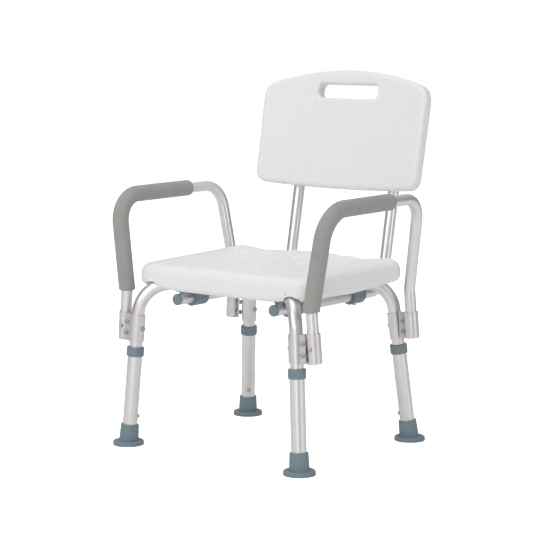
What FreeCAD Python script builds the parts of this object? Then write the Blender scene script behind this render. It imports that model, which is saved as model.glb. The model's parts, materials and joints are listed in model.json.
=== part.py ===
import FreeCAD, Part
import math
import os
import Sketcher
from FreeCAD import Placement, Rotation, Vector

# Shower chair with a cross-tube frame, four telescopic legs, lift-out arms and a slide-out backrest.
# Millimetres. The chair faces -Y, +X is the sitter's left, Z = 0 is the floor.
# Every sub-part is placed in the chair's own frame: its X and Z origin is the chair's centre line
# and the floor, and its Y origin is the middle of the chair's overall depth.

DIMENSIONS = [
    # alias, value, meaning
    ("centre_shift", -39.5, "Y of the midpoint between the feet"),
    ("foot_x_front", 208.6, "front foot, distance from the centre plane"),
    ("foot_x_rear", 203.4, "rear foot, distance from the centre plane"),
    ("foot_y", 183.8, "foot, distance from the midpoint between the feet"),
    ("splay_front", 0.068, "front leg, sideways run per unit of height"),
    ("splay_rear", 0.089, "rear leg, sideways run per unit of height"),
    ("rake_front", 0.047, "front leg, fore-and-aft run per unit of height"),
    ("rake_rear", 0.091, "rear leg, fore-and-aft run per unit of height"),
    ("cross_radius", 12.7, "cross tube outer radius"),
    ("cross_wall", 1.5, "cross tube wall"),
    ("cross_height", 315.0, "cross tube centre height under the seat"),
    ("cross_bend", 62.0, "cross tube bend radius, on the centre line"),
    ("cross_bottom", 44.0, "lower end of the cross tube, along the leg"),
    ("flat_half_width", 17.5, "flattened crossing, half width"),
    ("flat_half_height", 5.9, "flattened crossing, half height"),
    ("flat_gap", 0.15, "half of the gap between the flattened tubes"),
    ("flat_length", 46.0, "flattened crossing, length"),
    ("flat_step", 0.4, "step where the round tube meets the flattened part"),
    ("flat_blend", 30.0, "length over which the round tube flattens"),
    ("leg_radius", 14.3, "lower leg outer radius"),
    ("leg_bore", 12.85, "lower leg inner radius"),
    ("leg_bottom", 6.0, "lower leg, bottom end along the leg"),
    ("leg_length", 182.0, "lower leg length"),
    ("hole_radius", 4.2, "height hole radius"),
    ("hole_start", 57.0, "lowest height hole, along the leg"),
    ("hole_pitch", 12.7, "height hole pitch"),
    ("hole_count", 7, "height holes in a lower leg"),
    ("collar_radius", 17.0, "leg collar outer radius"),
    ("collar_bore", 12.8, "leg collar lip radius"),
    ("collar_bottom", 175.0, "leg collar, bottom along the leg"),
    ("collar_top", 194.0, "leg collar, top along the leg"),
    ("collar_round", 2.4, "leg collar edge radius"),
    ("foot_radius", 30.0, "foot flange radius"),
    ("foot_flange", 8.5, "foot flange thickness"),
    ("foot_cone_low", 19.4, "foot cone radius at the flange"),
    ("foot_cone_high", 17.4, "foot cone radius at its top"),
    ("foot_height", 41.0, "foot cone top, along the leg"),
    ("foot_round", 3.0, "foot rim radius"),
    ("fit", 0.08, "radial clearance of a fixed fit"),
    ("slide_fit", 0.1, "radial clearance of a sliding fit"),
    ("button_radius", 3.9, "snap button radius"),
    ("button_proud", 3.2, "snap button height outside its outer tube"),
    ("button_base", 5.1, "snap button base radius"),
    ("button_rim", 1.4, "snap button base thickness"),
    ("button_dome", 2.2, "snap button dome height"),
    ("spring_strip", 0.7, "snap button spring thickness"),
    ("spring_width", 6.0, "snap button spring width"),
    ("spring_height", 26.0, "snap button spring length above the button"),
    ("spring_leaf", 2.2, "spring's free leaf, from the tube's axis"),
    ("sleeve_radius", 15.0, "leg sleeve outer radius"),
    ("sleeve_bottom", 204.5, "leg sleeve, bottom along the leg"),
    ("sleeve_length", 52.0, "leg sleeve length"),
    ("arm_radius", 11.1, "arm tube and back tube outer radius"),
    ("arm_wall", 1.5, "arm tube and back tube wall"),
    ("socket_radius", 13.5, "arm socket outer radius"),
    ("socket_bottom_front", 204.0, "front arm socket bottom height"),
    ("socket_bottom_rear", 208.5, "rear arm socket bottom height"),
    ("socket_length_front", 56.0, "front arm socket length"),
    ("socket_length_rear", 51.5, "rear arm socket length"),
    ("arm_foot_gap", 2.0, "gap under the arm tube's ends in their sockets"),
    ("socket_floor", 2.0, "arm socket floor thickness"),
    ("socket_middle", 232.0, "height at which the arm socket centres are given"),
    ("socket_x_front", 228.3, "front arm socket, distance from the centre plane"),
    ("socket_x_rear", 222.8, "rear arm socket, distance from the centre plane"),
    ("socket_y_front", -166.2, "front arm socket, from the midpoint between the feet"),
    ("socket_y_rear", 159.2, "rear arm socket, from the midpoint between the feet"),
    ("socket_splay", 0.075, "arm socket, sideways run per unit of height"),
    ("socket_rake", 0.02, "arm socket, fore-and-aft run per unit of height"),
    ("arm_height_front", 482.0, "arm rest tube centre height at its front corner"),
    ("arm_height_rear", 484.0, "arm rest tube centre height at its rear corner"),
    ("arm_x_front", 250.2, "arm rest front corner, distance from the centre plane"),
    ("arm_x_rear", 245.5, "arm rest rear corner, distance from the centre plane"),
    ("arm_y_front", -160.5, "arm rest front corner, from the midpoint between the feet"),
    ("arm_y_rear", 145.0, "arm rest rear corner, from the midpoint between the feet"),
    ("arm_kink", 304.0, "height at which the arm tube turns outward"),
    ("arm_bend_front", 58.0, "arm rest front bend radius"),
    ("arm_bend_rear", 50.0, "arm rest rear bend radius"),
    ("arm_bend_kink", 55.0, "arm tube kink bend radius"),
    ("grip_radius", 16.0, "foam grip outer radius"),
    ("grip_round_low", 2.0, "foam grip lower end rounding"),
    ("grip_round_rear", 5.0, "foam grip rear end rounding"),
    ("grip_drop", 8.0, "where the foam grips are measured from, under the arm tube's turn"),
    ("grip_low_left", 1.4, "left foam grip, lower end along the tube from there"),
    ("grip_low_right", 4.7, "right foam grip, lower end along the tube from there"),
    ("grip_rear_end", 49.0, "foam grip rear end, from the midpoint between the feet"),
    ("ear_thickness", 2.5, "bracket ear thickness"),
    ("front_socket_face", 9.0, "front bracket, socket ear's outer face from the socket's axis"),
    ("front_socket_reach", 19.6, "front bracket, socket ear's reach from the socket's axis"),
    ("front_sleeve_face", 7.6, "front bracket, sleeve ear's outer face from the leg's axis"),
    ("front_sleeve_reach", 26.0, "front bracket, sleeve ear's reach from the leg's axis"),
    ("front_bolt_reach", 15.2, "front bracket, bolts from the socket's axis"),
    ("rear_socket_face", 13.2, "rear bracket, socket ear's outer face from the socket's axis"),
    ("rear_socket_reach", 22.0, "rear bracket, socket ear's reach from the socket's axis"),
    ("rear_sleeve_face", -12.3, "rear bracket, sleeve ear's outer face from the leg's axis"),
    ("rear_sleeve_reach", 18.0, "rear bracket, sleeve ear's reach from the leg's axis"),
    ("rear_bolt_reach", 15.5, "rear bracket, bolts from the socket's axis"),
    ("rear_head_flats", 3.5, "rear bracket bolt head, flats from its axis"),
    ("rear_head_height", 2.6, "rear bracket bolt head height"),
    ("rivet_radius", 2.0, "sleeve rivet shank radius"),
    ("rivet_tail", 9.5, "sleeve rivet, inner end from the leg's axis"),
    ("rivet_length", 7.0, "sleeve rivet shank length"),
    ("head_radius", 4.6, "domed head radius"),
    ("head_height", 3.0, "domed head height"),
    ("head_round", 1.6, "domed head edge radius"),
    ("nut_flats", 4.0, "bracket nut, flats from its axis"),
    ("seat_screw_radius", 2.4, "seat screw shank radius"),
    ("seat_screw_length", 36.0, "seat screw shank length"),
    ("seat_screw_head", 4.5, "seat screw head radius"),
    ("seat_screw_rim", 2.6, "seat screw head height"),
    ("seat_screw_front", 0.15, "front seat screw, share of the way along the cross tube's span"),
    ("seat_screw_rear", 0.8, "rear seat screw, share of the way along the cross tube's span"),
    ("screw_slack", 0.2, "radial slack of screws and of the cross bolt in the cross tubes"),
    ("cross_bolt_radius", 3.0, "cross bolt shank radius"),
    ("cross_bolt_flats", 5.0, "cross bolt head and nut, flats from the axis"),
    ("cross_bolt_head", 4.0, "cross bolt head height"),
    ("cross_nut_height", 3.2, "cross nut height"),
    ("wing_screw_radius", 1.8, "saddle bracket screw shank radius"),
    ("wing_screw_length", 24.0, "saddle bracket screw shank length"),
    ("wing_screw_head", 3.6, "saddle bracket screw head radius"),
    ("wing_screw_rim", 2.2, "saddle bracket screw head height"),
    ("wing_screw_reach", 23.0, "saddle bracket screws, from the back tube's axis"),
    ("post_screw_radius", 2.0, "backrest screw shank radius"),
    ("post_screw_length", 12.0, "backrest screw shank length"),
    ("post_screw_low", 34.0, "lower backrest screw, above the panel's bottom"),
    ("post_screw_high", 110.0, "upper backrest screw, above the panel's bottom"),
    ("bolt_hole_slack", 0.7, "radial slack of the bolts in the sleeve's ear"),
    ("bolt_radius", 2.5, "bracket bolt radius"),
    ("bolt_spread", 21.0, "distance between the two bolts of a bracket"),
    ("back_x", 116.8, "back tube, distance from the centre plane"),
    ("back_height", 288.0, "back tube centre height under the seat"),
    ("back_front", -140.0, "back tube front end, from the midpoint between the feet"),
    ("back_corner", 209.5, "back tube corner, from the midpoint between the feet"),
    ("cap_thickness", 5.0, "back tube end cap thickness"),
    ("cap_plug", 12.0, "back tube end cap plug length"),
    ("back_bend", 45.0, "back tube bend radius"),
    ("back_lean", 11.2, "back tube and backrest lean, degrees"),
    ("post_top", 622.0, "height of the back tube's upper end"),
    ("panel_width", 402.0, "backrest panel width"),
    ("panel_thickness", 28.0, "backrest panel thickness"),
    ("panel_curve", 1010.0, "backrest panel curve radius, seen from above"),
    ("panel_bottom", 481.0, "backrest panel lowest height"),
    ("panel_height", 240.6, "backrest panel height along its lean"),
    ("panel_shoulder", 204.0, "height of the panel's arch at the corners, along its lean"),
    ("panel_corner_low", 23.0, "backrest panel lower corner radius"),
    ("panel_corner_high", 36.0, "backrest panel upper corner radius"),
    ("panel_round", 8.0, "backrest panel edge radius"),
    ("slot_width", 146.0, "hand slot width"),
    ("slot_height", 29.0, "hand slot height"),
    ("slot_centre", 198.0, "hand slot centre, along the lean from the panel's bottom"),
    ("slot_corner", 11.0, "hand slot corner radius"),
    ("slot_round", 5.0, "hand slot edge radius"),
    ("ridge_radius", 15.5, "backrest post ridge radius"),
    ("ridge_length", 150.0, "backrest post ridge length"),
    ("ridge_low", 6.0, "post ridge, bottom above the panel's bottom"),
    ("post_bore", 149.0, "post bore depth from the panel's bottom"),
    ("panel_y", 229.2, "middle of the panel's bottom edge, from the midpoint between the feet"),
    ("seat_width", 420.0, "seat panel width"),
    ("seat_depth", 320.0, "seat panel depth"),
    ("seat_underside", 308.0, "seat panel underside height at its middle"),
    ("seat_thickness", 50.0, "seat panel thickness"),
    ("seat_tilt", 1.2, "seat panel rise toward the back, degrees"),
    ("seat_relief", 9.5, "rise of the underside toward the back, over the tilt"),
    ("seat_lip", 30.0, "depth of the full-thickness lip along the seat's front"),
    ("seat_corner", 33.0, "seat panel corner radius"),
    ("seat_round_high", 19.0, "seat panel upper edge radius"),
    ("seat_round_low", 13.0, "seat panel lower edge radius"),
    ("channel_width", 30.0, "width of the tube channels under the seat"),
    ("channel_depth", 23.6, "depth of the tube channels under the seat"),
    ("crossing_room", 43.0, "radius of the recess under the seat round the crossing"),
    ("tube_room", 1.0, "gap between the seat and the cross tubes' front bends"),
    ("drain_pitch", 66.0, "drain hole pitch"),
    ("drain_radius", 3.5, "drain hole radius"),
    ("drain_dimple", 10.0, "drain dimple radius"),
    ("drain_depth", 3.0, "drain dimple depth"),
    ("drain_centre", 10.0, "drain pattern centre, from the middle of the seat"),
    ("saddle_notch", 0.4, "gap between a saddle bracket and the cross tube over it"),
    ("vent_x", 156.7, "vent hole, sideways"),
    ("vent_z", 18.0, "vent hole, above the seat's underside"),
    ("vent_radius", 2.2, "vent hole radius"),
    ("vent_depth", 6.0, "vent hole depth"),
    ("saddle_radius", 17.0, "saddle bracket radius round the back tube"),
    ("saddle_length", 35.0, "saddle bracket length along the back tube"),
    ("saddle_wing", 30.0, "saddle bracket half width at its top"),
    ("saddle_top_front", 306.6, "front saddle bracket top height"),
    ("saddle_top_rear", 317.4, "rear saddle bracket top height"),
    ("saddle_plate", 14.0, "saddle bracket top plate thickness"),
    ("saddle_y_front", -84.0, "front saddle bracket centre"),
    ("saddle_y_rear", 114.0, "rear saddle bracket centre"),
]

os.makedirs("parts", exist_ok=True)
doc = FreeCAD.newDocument("shower_chair")
sheet = doc.addObject("Spreadsheet::Sheet", "Dims")
for row, (alias, value, meaning) in enumerate(DIMENSIONS, start=1):
    sheet.set(f"A{row}", alias)
    sheet.set(f"B{row}", str(value))
    sheet.set(f"C{row}", meaning)
    sheet.setAlias(f"B{row}", alias)
doc.recompute()

SUB_PARTS = []
UP = Vector(0, 0, 1)
SIDES = {"left": 1, "right": -1}
ENDS = {"front": -1, "rear": 1}
CORNERS = [(end, side) for end in ENDS for side in SIDES]


def dim(alias):
    return float(sheet.get(alias))


def unit(x, y, z=0.0):
    return Vector(x, y, z).normalize()


def chair_point(x, y, z):
    """A point given from the midpoint between the feet, in the chair's frame."""
    return Vector(x, y + dim("centre_shift"), z)


def frame_at(origin, along, across):
    """Placement with its Z along a line and its X as near as possible to a given direction."""
    z_axis = Vector(along).normalize()
    x_axis = Vector(across) - z_axis * z_axis.dot(across)
    x_axis.normalize()
    y_axis = z_axis.cross(x_axis)
    return Placement(origin, Rotation(x_axis, y_axis, z_axis, "ZXY"))


def keep(shape_object, label, placement=None):
    """Register a finished sub-part under its own label."""
    shape_object.Label = label
    if placement is not None:
        shape_object.Placement = placement
    SUB_PARTS.append(shape_object)
    return shape_object


# ---------------------------------------------------------------- PartDesign helpers


def new_body(name):
    return doc.addObject("PartDesign::Body", name)


def origin_feature(body, role):
    return next(item for item in body.Origin.OriginFeatures if item.Role == role)


def new_sketch(body, name, plane, lift=None):
    """Sketch on one of the body's own planes, lifted off it by a cell or an expression."""
    sketch = body.newObject("Sketcher::SketchObject", name)
    sketch.AttachmentSupport = [(origin_feature(body, plane), "")]
    sketch.MapMode = "FlatFace"
    if lift is not None:
        sketch.setExpression("AttachmentOffset.Base.z", lift)
    return sketch


def add_circle(sketch, radius, x=0.0, y=0.0, x_cell=None, y_cell=None):
    """Circle whose radius, and centre where cells are given, follow the sheet."""
    index = sketch.addGeometry(Part.Circle(Vector(x, y, 0), UP, 1.0))
    number = sketch.addConstraint(Sketcher.Constraint("Radius", index, 1.0))
    sketch.setExpression(f"Constraints[{number}]", radius)
    for kind, place, cell in (("DistanceX", x, x_cell), ("DistanceY", y, y_cell)):
        if cell is None and place == 0.0:
            continue
        number = sketch.addConstraint(Sketcher.Constraint(kind, -1, 1, index, 3, place))
        if cell is not None:
            sketch.setExpression(f"Constraints[{number}]", cell)
    if x == 0.0 and y == 0.0 and x_cell is None and y_cell is None:
        sketch.addConstraint(Sketcher.Constraint("Coincident", index, 3, -1, 1))
    return index


def add_rectangle(sketch, low_x, low_y, high_x, high_y, cells=None):
    """Closed rectangle; cells may give expressions for its left, bottom, right and top."""
    corners = [
        Vector(low_x, low_y, 0),
        Vector(high_x, low_y, 0),
        Vector(high_x, high_y, 0),
        Vector(low_x, high_y, 0),
    ]
    first = None
    for number in range(4):
        segment = Part.LineSegment(corners[number], corners[(number + 1) % 4])
        index = sketch.addGeometry(segment)
        first = index if first is None else first
    for number in range(4):
        nxt = (number + 1) % 4
        sketch.addConstraint(Sketcher.Constraint("Coincident", first + number, 2, first + nxt, 1))
        kind = "Horizontal" if number % 2 == 0 else "Vertical"
        sketch.addConstraint(Sketcher.Constraint(kind, first + number))
    places = (
        ("DistanceX", first, 1, low_x),
        ("DistanceY", first, 1, low_y),
        ("DistanceX", first + 2, 1, high_x),
        ("DistanceY", first + 2, 1, high_y),
    )
    for order, (kind, line, end, place) in enumerate(places):
        number = sketch.addConstraint(Sketcher.Constraint(kind, -1, 1, line, end, place))
        if cells is not None:
            sketch.setExpression(f"Constraints[{number}]", cells[order])
    return first


def add_outline(sketch, points):
    """Closed outline of straight lines through the points."""
    first = None
    for number, point in enumerate(points):
        nxt = points[(number + 1) % len(points)]
        index = sketch.addGeometry(Part.LineSegment(Vector(*point, 0), Vector(*nxt, 0)))
        first = index if first is None else first
    for number in range(len(points)):
        after = first + (number + 1) % len(points)
        sketch.addConstraint(Sketcher.Constraint("Coincident", first + number, 2, after, 1))
    return first


def pad(body, sketch, name, length, both_ways=False):
    feature = body.newObject("PartDesign::Pad", name)
    feature.Profile = sketch
    feature.setExpression("Length", length)
    if both_ways:
        feature.Midplane = True
    sketch.Visibility = False
    return feature


def pocket(body, sketch, name, length=None, both_ways=False, flipped=False):
    """Cut that must take material away: flipped over if it points off the solid."""
    doc.recompute()
    before = body.Shape.Volume
    feature = body.newObject("PartDesign::Pocket", name)
    feature.Profile = sketch
    if length is None:
        feature.Type = "ThroughAll"
    else:
        feature.setExpression("Length", length)
    feature.Midplane = both_ways
    feature.Reversed = flipped
    doc.recompute()
    if feature.Shape.Volume > before - 1e-3:
        raise RuntimeError(f"{body.Name}.{name} cuts nothing")
    return feature


def revolve(body, sketch, name, axis="Z_Axis"):
    feature = body.newObject("PartDesign::Revolution", name)
    feature.Profile = sketch
    feature.ReferenceAxis = (origin_feature(body, axis), [""])
    feature.Angle = 360.0
    return feature


def edges_where(shape, test):
    return [f"Edge{i}" for i, edge in enumerate(shape.Edges, start=1) if test(edge)]


def fillet(body, name, radius, test):
    doc.recompute()
    base = body.Tip
    names = edges_where(base.Shape, test)
    if not names:
        raise RuntimeError(f"{body.Name}.{name} found no edges")
    feature = body.newObject("PartDesign::Fillet", name)
    feature.Base = (base, names)
    feature.setExpression("Radius", radius)
    return feature


def is_circle(edge, radius, place=None, axis="z"):
    """True for a circular edge of a radius, at a place along an axis if one is given."""
    if not isinstance(edge.Curve, Part.Circle) or abs(edge.Curve.Radius - radius) > 0.01:
        return False
    return place is None or abs(getattr(edge.Curve.Center, axis) - place) < 0.05


# ---------------------------------------------------------------- shape helpers


def bent_path(points, radii):
    """Wire through the points, with each inner corner rounded by a tangent arc."""
    edges = []
    start = points[0]
    for before, corner, after, radius in zip(points, points[1:], points[2:], radii):
        into = Vector(corner - before).normalize()
        out = Vector(after - corner).normalize()
        turn = into.getAngle(out)
        reach = radius * math.tan(turn / 2)
        arc_start = corner - into * reach
        arc_end = corner + out * reach
        inward = Vector(out - into).normalize()
        middle = corner + inward * (radius / math.cos(turn / 2) - radius)
        edges.append(Part.LineSegment(start, arc_start).toShape())
        edges.append(Part.Arc(arc_start, middle, arc_end).toShape())
        start = arc_end
    edges.append(Part.LineSegment(start, points[-1]).toShape())
    return Part.Wire(edges)


def shortened(wire, skip):
    """The wire without a length at its start."""
    edges = list(wire.Edges)
    while edges[0].Length <= skip:
        skip -= edges.pop(0).Length
    first = edges[0]
    parameter = first.getParameterByLength(skip)
    edges[0] = first.Curve.toShape(parameter, first.LastParameter)
    return Part.Wire(edges)


def swept_solid(wire, radius):
    """Round bar of a radius along a wire."""
    start = wire.Edges[0]
    direction = start.tangentAt(start.FirstParameter)
    circle = Part.Wire(Part.makeCircle(radius, start.valueAt(start.FirstParameter), direction))
    return wire.makePipeShell([circle], True, True)


def tube_along(wire, radius, wall):
    return swept_solid(wire, radius).cut(swept_solid(wire, radius - wall))


def rod(start, direction, radius, length):
    return Part.makeCylinder(radius, length, start, direction)


def feature(label, shape):
    """Part::Feature for a shape that is worked out in the chair's frame."""
    holder = doc.addObject("Part::Feature", label)
    holder.Shape = shape
    return keep(holder, label, Placement())


# ---------------------------------------------------------------- legs


def leg_line(end, side):
    """Foot point on the floor and upward direction of a leg."""
    foot = chair_point(SIDES[side] * dim(f"foot_x_{end}"), ENDS[end] * dim("foot_y"), 0)
    lean = Vector(
        -SIDES[side] * dim(f"splay_{end}"),
        -ENDS[end] * dim(f"rake_{end}"),
        1,
    )
    return foot, lean.normalize()


def inward(end, side):
    """Horizontal diagonal from a corner toward the middle of the chair."""
    return unit(-SIDES[side], -ENDS[end])


def leg_frame(end, side):
    """Leg's own frame: Z up the leg, X toward the middle of the chair."""
    foot, lean = leg_line(end, side)
    return frame_at(foot, lean, inward(end, side))


def lower_leg(end, side):
    body = new_body(f"lower_leg_{end}_{side}")
    ring = new_sketch(body, "ring", "XY_Plane", "Dims.leg_bottom")
    add_circle(ring, "Dims.leg_radius")
    add_circle(ring, "Dims.leg_bore")
    pad(body, ring, "tube", "Dims.leg_length")
    hole = new_sketch(body, "hole", "YZ_Plane")
    add_circle(hole, "Dims.hole_radius", y=dim("hole_start"), y_cell="Dims.hole_start")
    cut = pocket(body, hole, "height_hole", "Dims.leg_radius + 5", flipped=True)
    row = body.newObject("PartDesign::LinearPattern", "height_holes")
    row.Originals = [cut]
    row.Direction = (origin_feature(body, "Z_Axis"), [""])
    row.setExpression("Length", "Dims.hole_pitch * (Dims.hole_count - 1)")
    row.setExpression("Occurrences", "Dims.hole_count")
    body.Tip = row
    return keep(body, f"lower_leg_{end}_{side}", leg_frame(end, side))


def leg_collar(end, side):
    body = new_body(f"leg_collar_{end}_{side}")
    lip = dim("leg_bottom") + dim("leg_length") + dim("fit")
    bore = dim("leg_radius") + dim("fit")
    profile = new_sketch(body, "profile", "XZ_Plane")
    add_outline(
        profile,
        [
            (bore, dim("collar_bottom")),
            (dim("collar_radius"), dim("collar_bottom")),
            (dim("collar_radius"), dim("collar_top")),
            (dim("collar_bore"), dim("collar_top")),
            (dim("collar_bore"), lip),
            (bore, lip),
        ],
    )
    revolve(body, profile, "collar")
    fillet(body, "rounding", "Dims.collar_round", lambda e: is_circle(e, dim("collar_radius")))
    return keep(body, f"leg_collar_{end}_{side}", leg_frame(end, side))


def foot_pad(end, side):
    """Rubber foot: a level flange and a cone that follows the leg, with a blind socket."""
    foot, lean = leg_line(end, side)
    flange = rod(foot, UP, dim("foot_radius"), dim("foot_flange"))
    rim = [e for e in flange.Edges if is_circle(e, dim("foot_radius"), dim("foot_flange"))]
    flange = flange.makeFillet(dim("foot_round"), rim)
    cone = Part.makeCone(
        dim("foot_cone_low"),
        dim("foot_cone_high"),
        dim("foot_height"),
        foot,
        lean,
    )
    top_rim = [e for e in cone.Edges if is_circle(e, dim("foot_cone_high"))]
    cone = cone.makeFillet(1.5, top_rim)
    above_floor = Part.makeBox(200, 200, 200, foot - Vector(100, 100, 0))
    socket = rod(
        foot + lean * (dim("leg_bottom") - dim("fit")),
        lean,
        dim("leg_radius") + dim("fit"),
        dim("foot_height"),
    )
    shape = flange.fuse(cone.common(above_floor)).removeSplitter().cut(socket)
    return feature(f"foot_pad_{end}_{side}", shape)


def snap_button(label, placement, outer_radius, inner_radius):
    """Domed push button across a pair of nested tubes, pointing along its own X."""
    body = new_body(label)
    seat = math.sqrt((inner_radius - 0.2) ** 2 - dim("button_base") ** 2)
    low = seat - dim("button_rim")
    tip = outer_radius + dim("button_proud")
    rim = new_sketch(body, "rim", "YZ_Plane", f"{low} mm")
    add_circle(rim, "Dims.button_base")
    pad(body, rim, "base", "Dims.button_rim")
    stem = new_sketch(body, "stem", "YZ_Plane", f"{low} mm")
    add_circle(stem, "Dims.button_radius")
    pad(body, stem, "stem_pad", f"{tip - low} mm")
    fillet(body, "dome", "Dims.button_dome", lambda e: is_circle(e, dim("button_radius"), tip, "x"))
    return keep(body, label, placement)


def leg_button(end, side):
    placement = leg_frame(end, side)
    placement.move(leg_line(end, side)[1] * dim("hole_start"))
    inner = dim("cross_radius") - dim("cross_wall")
    return snap_button(f"leg_button_{end}_{side}", placement, dim("leg_radius"), inner)


def spring_clip(placement, inner_radius):
    """Hairpin leaf inside a tube, behind a snap button that points along the placement's X."""
    wall_side = 2.0 - inner_radius
    free_side = dim("spring_leaf")
    top = dim("spring_height")
    half_width = dim("spring_width") / 2
    half_strip = dim("spring_strip") / 2
    path = bent_path(
        [
            Vector(wall_side, 0, -10),
            Vector(wall_side, 0, top),
            Vector(free_side, 0, top),
            Vector(free_side, 0, -dim("button_base")),
        ],
        [4.0, 4.0],
    )
    corners = [
        Vector(wall_side - half_strip, -half_width, -10),
        Vector(wall_side + half_strip, -half_width, -10),
        Vector(wall_side + half_strip, half_width, -10),
        Vector(wall_side - half_strip, half_width, -10),
        Vector(wall_side - half_strip, -half_width, -10),
    ]
    strip = path.makePipeShell([Part.makePolygon(corners)], True, True)
    strip.Placement = placement
    return strip


def leg_button_springs():
    solids = []
    for end, side in CORNERS:
        placement = leg_frame(end, side)
        placement.move(leg_line(end, side)[1] * dim("hole_start"))
        solids.append(spring_clip(placement, dim("cross_radius") - dim("cross_wall")))
    return feature("leg_button_springs", Part.makeCompound(solids))


# ---------------------------------------------------------------- cross tubes


def cross_points(side):
    """Centre line of the cross tube that starts at the front leg of a side."""
    other = "right" if side == "left" else "left"
    front_foot, front_lean = leg_line("front", side)
    rear_foot, rear_lean = leg_line("rear", other)
    front_corner = front_foot + front_lean * (dim("cross_height") / front_lean.z)
    rear_corner = rear_foot + rear_lean * (dim("cross_height") / rear_lean.z)
    return [
        front_foot + front_lean * dim("cross_bottom"),
        front_corner,
        rear_corner,
        rear_foot + rear_lean * dim("cross_bottom"),
    ]


def crossing_point():
    """Where the two cross tubes' centre lines meet."""
    _, front, rear, _ = cross_points("left")
    share = front.x / (front.x - rear.x)
    return front + (rear - front) * share


def ellipse_wire(centre, across, half_width, half_height):
    """Upright ellipse about a centre, wide along a horizontal direction."""
    far = centre + across * half_width
    top = centre + UP * half_height
    return Part.Wire(Part.Ellipse(far, top, centre).toShape())


def flattened_bar(along, shift, shrink):
    """Part of a cross tube that narrows, runs flat past the crossing and widens again."""
    centre = crossing_point()
    across = UP.cross(along)
    flat_centre = centre + UP * shift
    half_flat = dim("flat_length") / 2
    end = half_flat + dim("flat_blend") + max(shrink, 0.0)
    neck_radius = dim("cross_radius") - dim("flat_step") - shrink
    flat_width = dim("flat_half_width") - shrink
    flat_height = dim("flat_half_height") - shrink
    solids = []
    middle = ellipse_wire(flat_centre - along * half_flat, across, flat_width, flat_height)
    solids.append(Part.Face(middle).extrude(along * dim("flat_length")))
    for sign in (-1, 1):
        oval_centre = flat_centre + along * (sign * half_flat)
        oval = ellipse_wire(oval_centre, across, flat_width, flat_height)
        neck_centre = centre + along * (sign * end)
        neck = ellipse_wire(neck_centre, across, neck_radius + 0.001, neck_radius)
        solids.append(Part.makeLoft([neck, oval], True, True))
    bar = solids[0]
    for solid in solids[1:]:
        bar = bar.fuse(solid)
    return bar


def cross_solid(side, shift, shrink):
    """Outer or inner volume of one cross tube."""
    points = cross_points(side)
    along = Vector(points[2] - points[1]).normalize()
    centre = crossing_point()
    reach = dim("flat_length") / 2 + dim("flat_blend")
    radius = dim("cross_radius") - shrink
    halves = []
    for end in (-1, 1):
        ordered = points if end < 0 else points[::-1]
        start = ordered[0]
        if shrink > 0:
            start = ordered[0] - (ordered[1] - ordered[0]).normalize()
        stop = centre + along * (end * (reach + max(shrink, 0.0)))
        path = bent_path([start, ordered[1], stop], [dim("cross_bend")])
        halves.append(swept_solid(path, radius))
    return halves[0].fuse(halves[1]).fuse(flattened_bar(along, shift, shrink))


def cross_tube(name, side, shift):
    """Bent tube from one front leg to the opposite rear leg, flattened where it crosses."""
    tube = cross_solid(side, shift, 0.0).cut(cross_solid(side, shift, dim("cross_wall")))
    other = "right" if side == "left" else "left"
    for end, leg_side in (("front", side), ("rear", other)):
        foot, lean = leg_line(end, leg_side)
        frame = leg_frame(end, leg_side)
        point = foot + lean * dim("hole_start")
        across = frame.Rotation.multVec(Vector(1, 0, 0))
        tube = tube.cut(rod(point, across, dim("hole_radius"), dim("leg_radius") + 3))
        rivet = sleeve_middle(end, leg_side)
        rivet_hole = dim("rivet_radius") + dim("fit")
        way = rivet_direction(end, leg_side)
        tube = tube.cut(rod(rivet, way, rivet_hole, dim("leg_radius") + 3))
    tube = tube.cut(upright_drill(crossing_point(), dim("cross_bolt_radius")))
    for screw in seat_screw_points(side):
        tube = tube.cut(upright_drill(screw, dim("seat_screw_radius")))
    return feature(name, tube)


def upright_drill(point, radius):
    """Clearance hole straight up through a cross tube."""
    reach = dim("cross_radius") * 3
    return rod(point - UP * reach, UP, radius + dim("screw_slack"), reach * 2)


def seat_screw_points(side):
    """Where the seat screws pass through one cross tube."""
    _, front, rear, _ = cross_points(side)
    span = Vector(rear - front)
    shares = (dim("seat_screw_front"), dim("seat_screw_rear"))
    return [front + span * share for share in shares]


def seat_screws():
    """Pan head screws up through the cross tubes into the seat."""
    solids = []
    head_z = dim("cross_height") - dim("cross_radius")
    for side in SIDES:
        for point in seat_screw_points(side):
            low = Vector(point.x, point.y, head_z - dim("seat_screw_rim"))
            shank = rod(low + UP, UP, dim("seat_screw_radius"), dim("seat_screw_length"))
            head = rod(low, UP, dim("seat_screw_head"), dim("seat_screw_rim"))
            solids.append(head.fuse(shank).removeSplitter())
    return feature("seat_screws", Part.makeCompound(solids))


def cross_bolt():
    """Hexagon bolt up through both flattened tubes."""
    stack = 2 * dim("flat_half_height") + dim("flat_gap")
    head_height = dim("cross_bolt_head")
    low = crossing_point() - UP * (stack + head_height + dim("screw_slack"))
    head = hex_prism(low, UP, dim("cross_bolt_flats"), head_height)
    length = 2 * stack + head_height + dim("cross_nut_height")
    shank = rod(low + UP, UP, dim("cross_bolt_radius"), length - 1)
    return feature("cross_bolt", head.fuse(shank).removeSplitter())


def cross_nut():
    stack = 2 * dim("flat_half_height") + dim("flat_gap")
    low = crossing_point() + UP * (stack + dim("screw_slack"))
    height = dim("cross_nut_height")
    nut = hex_prism(low, UP, dim("cross_bolt_flats"), height)
    bore = rod(low - UP, UP, dim("cross_bolt_radius") + dim("fit"), height + 2)
    return feature("cross_nut", nut.cut(bore))


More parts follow.
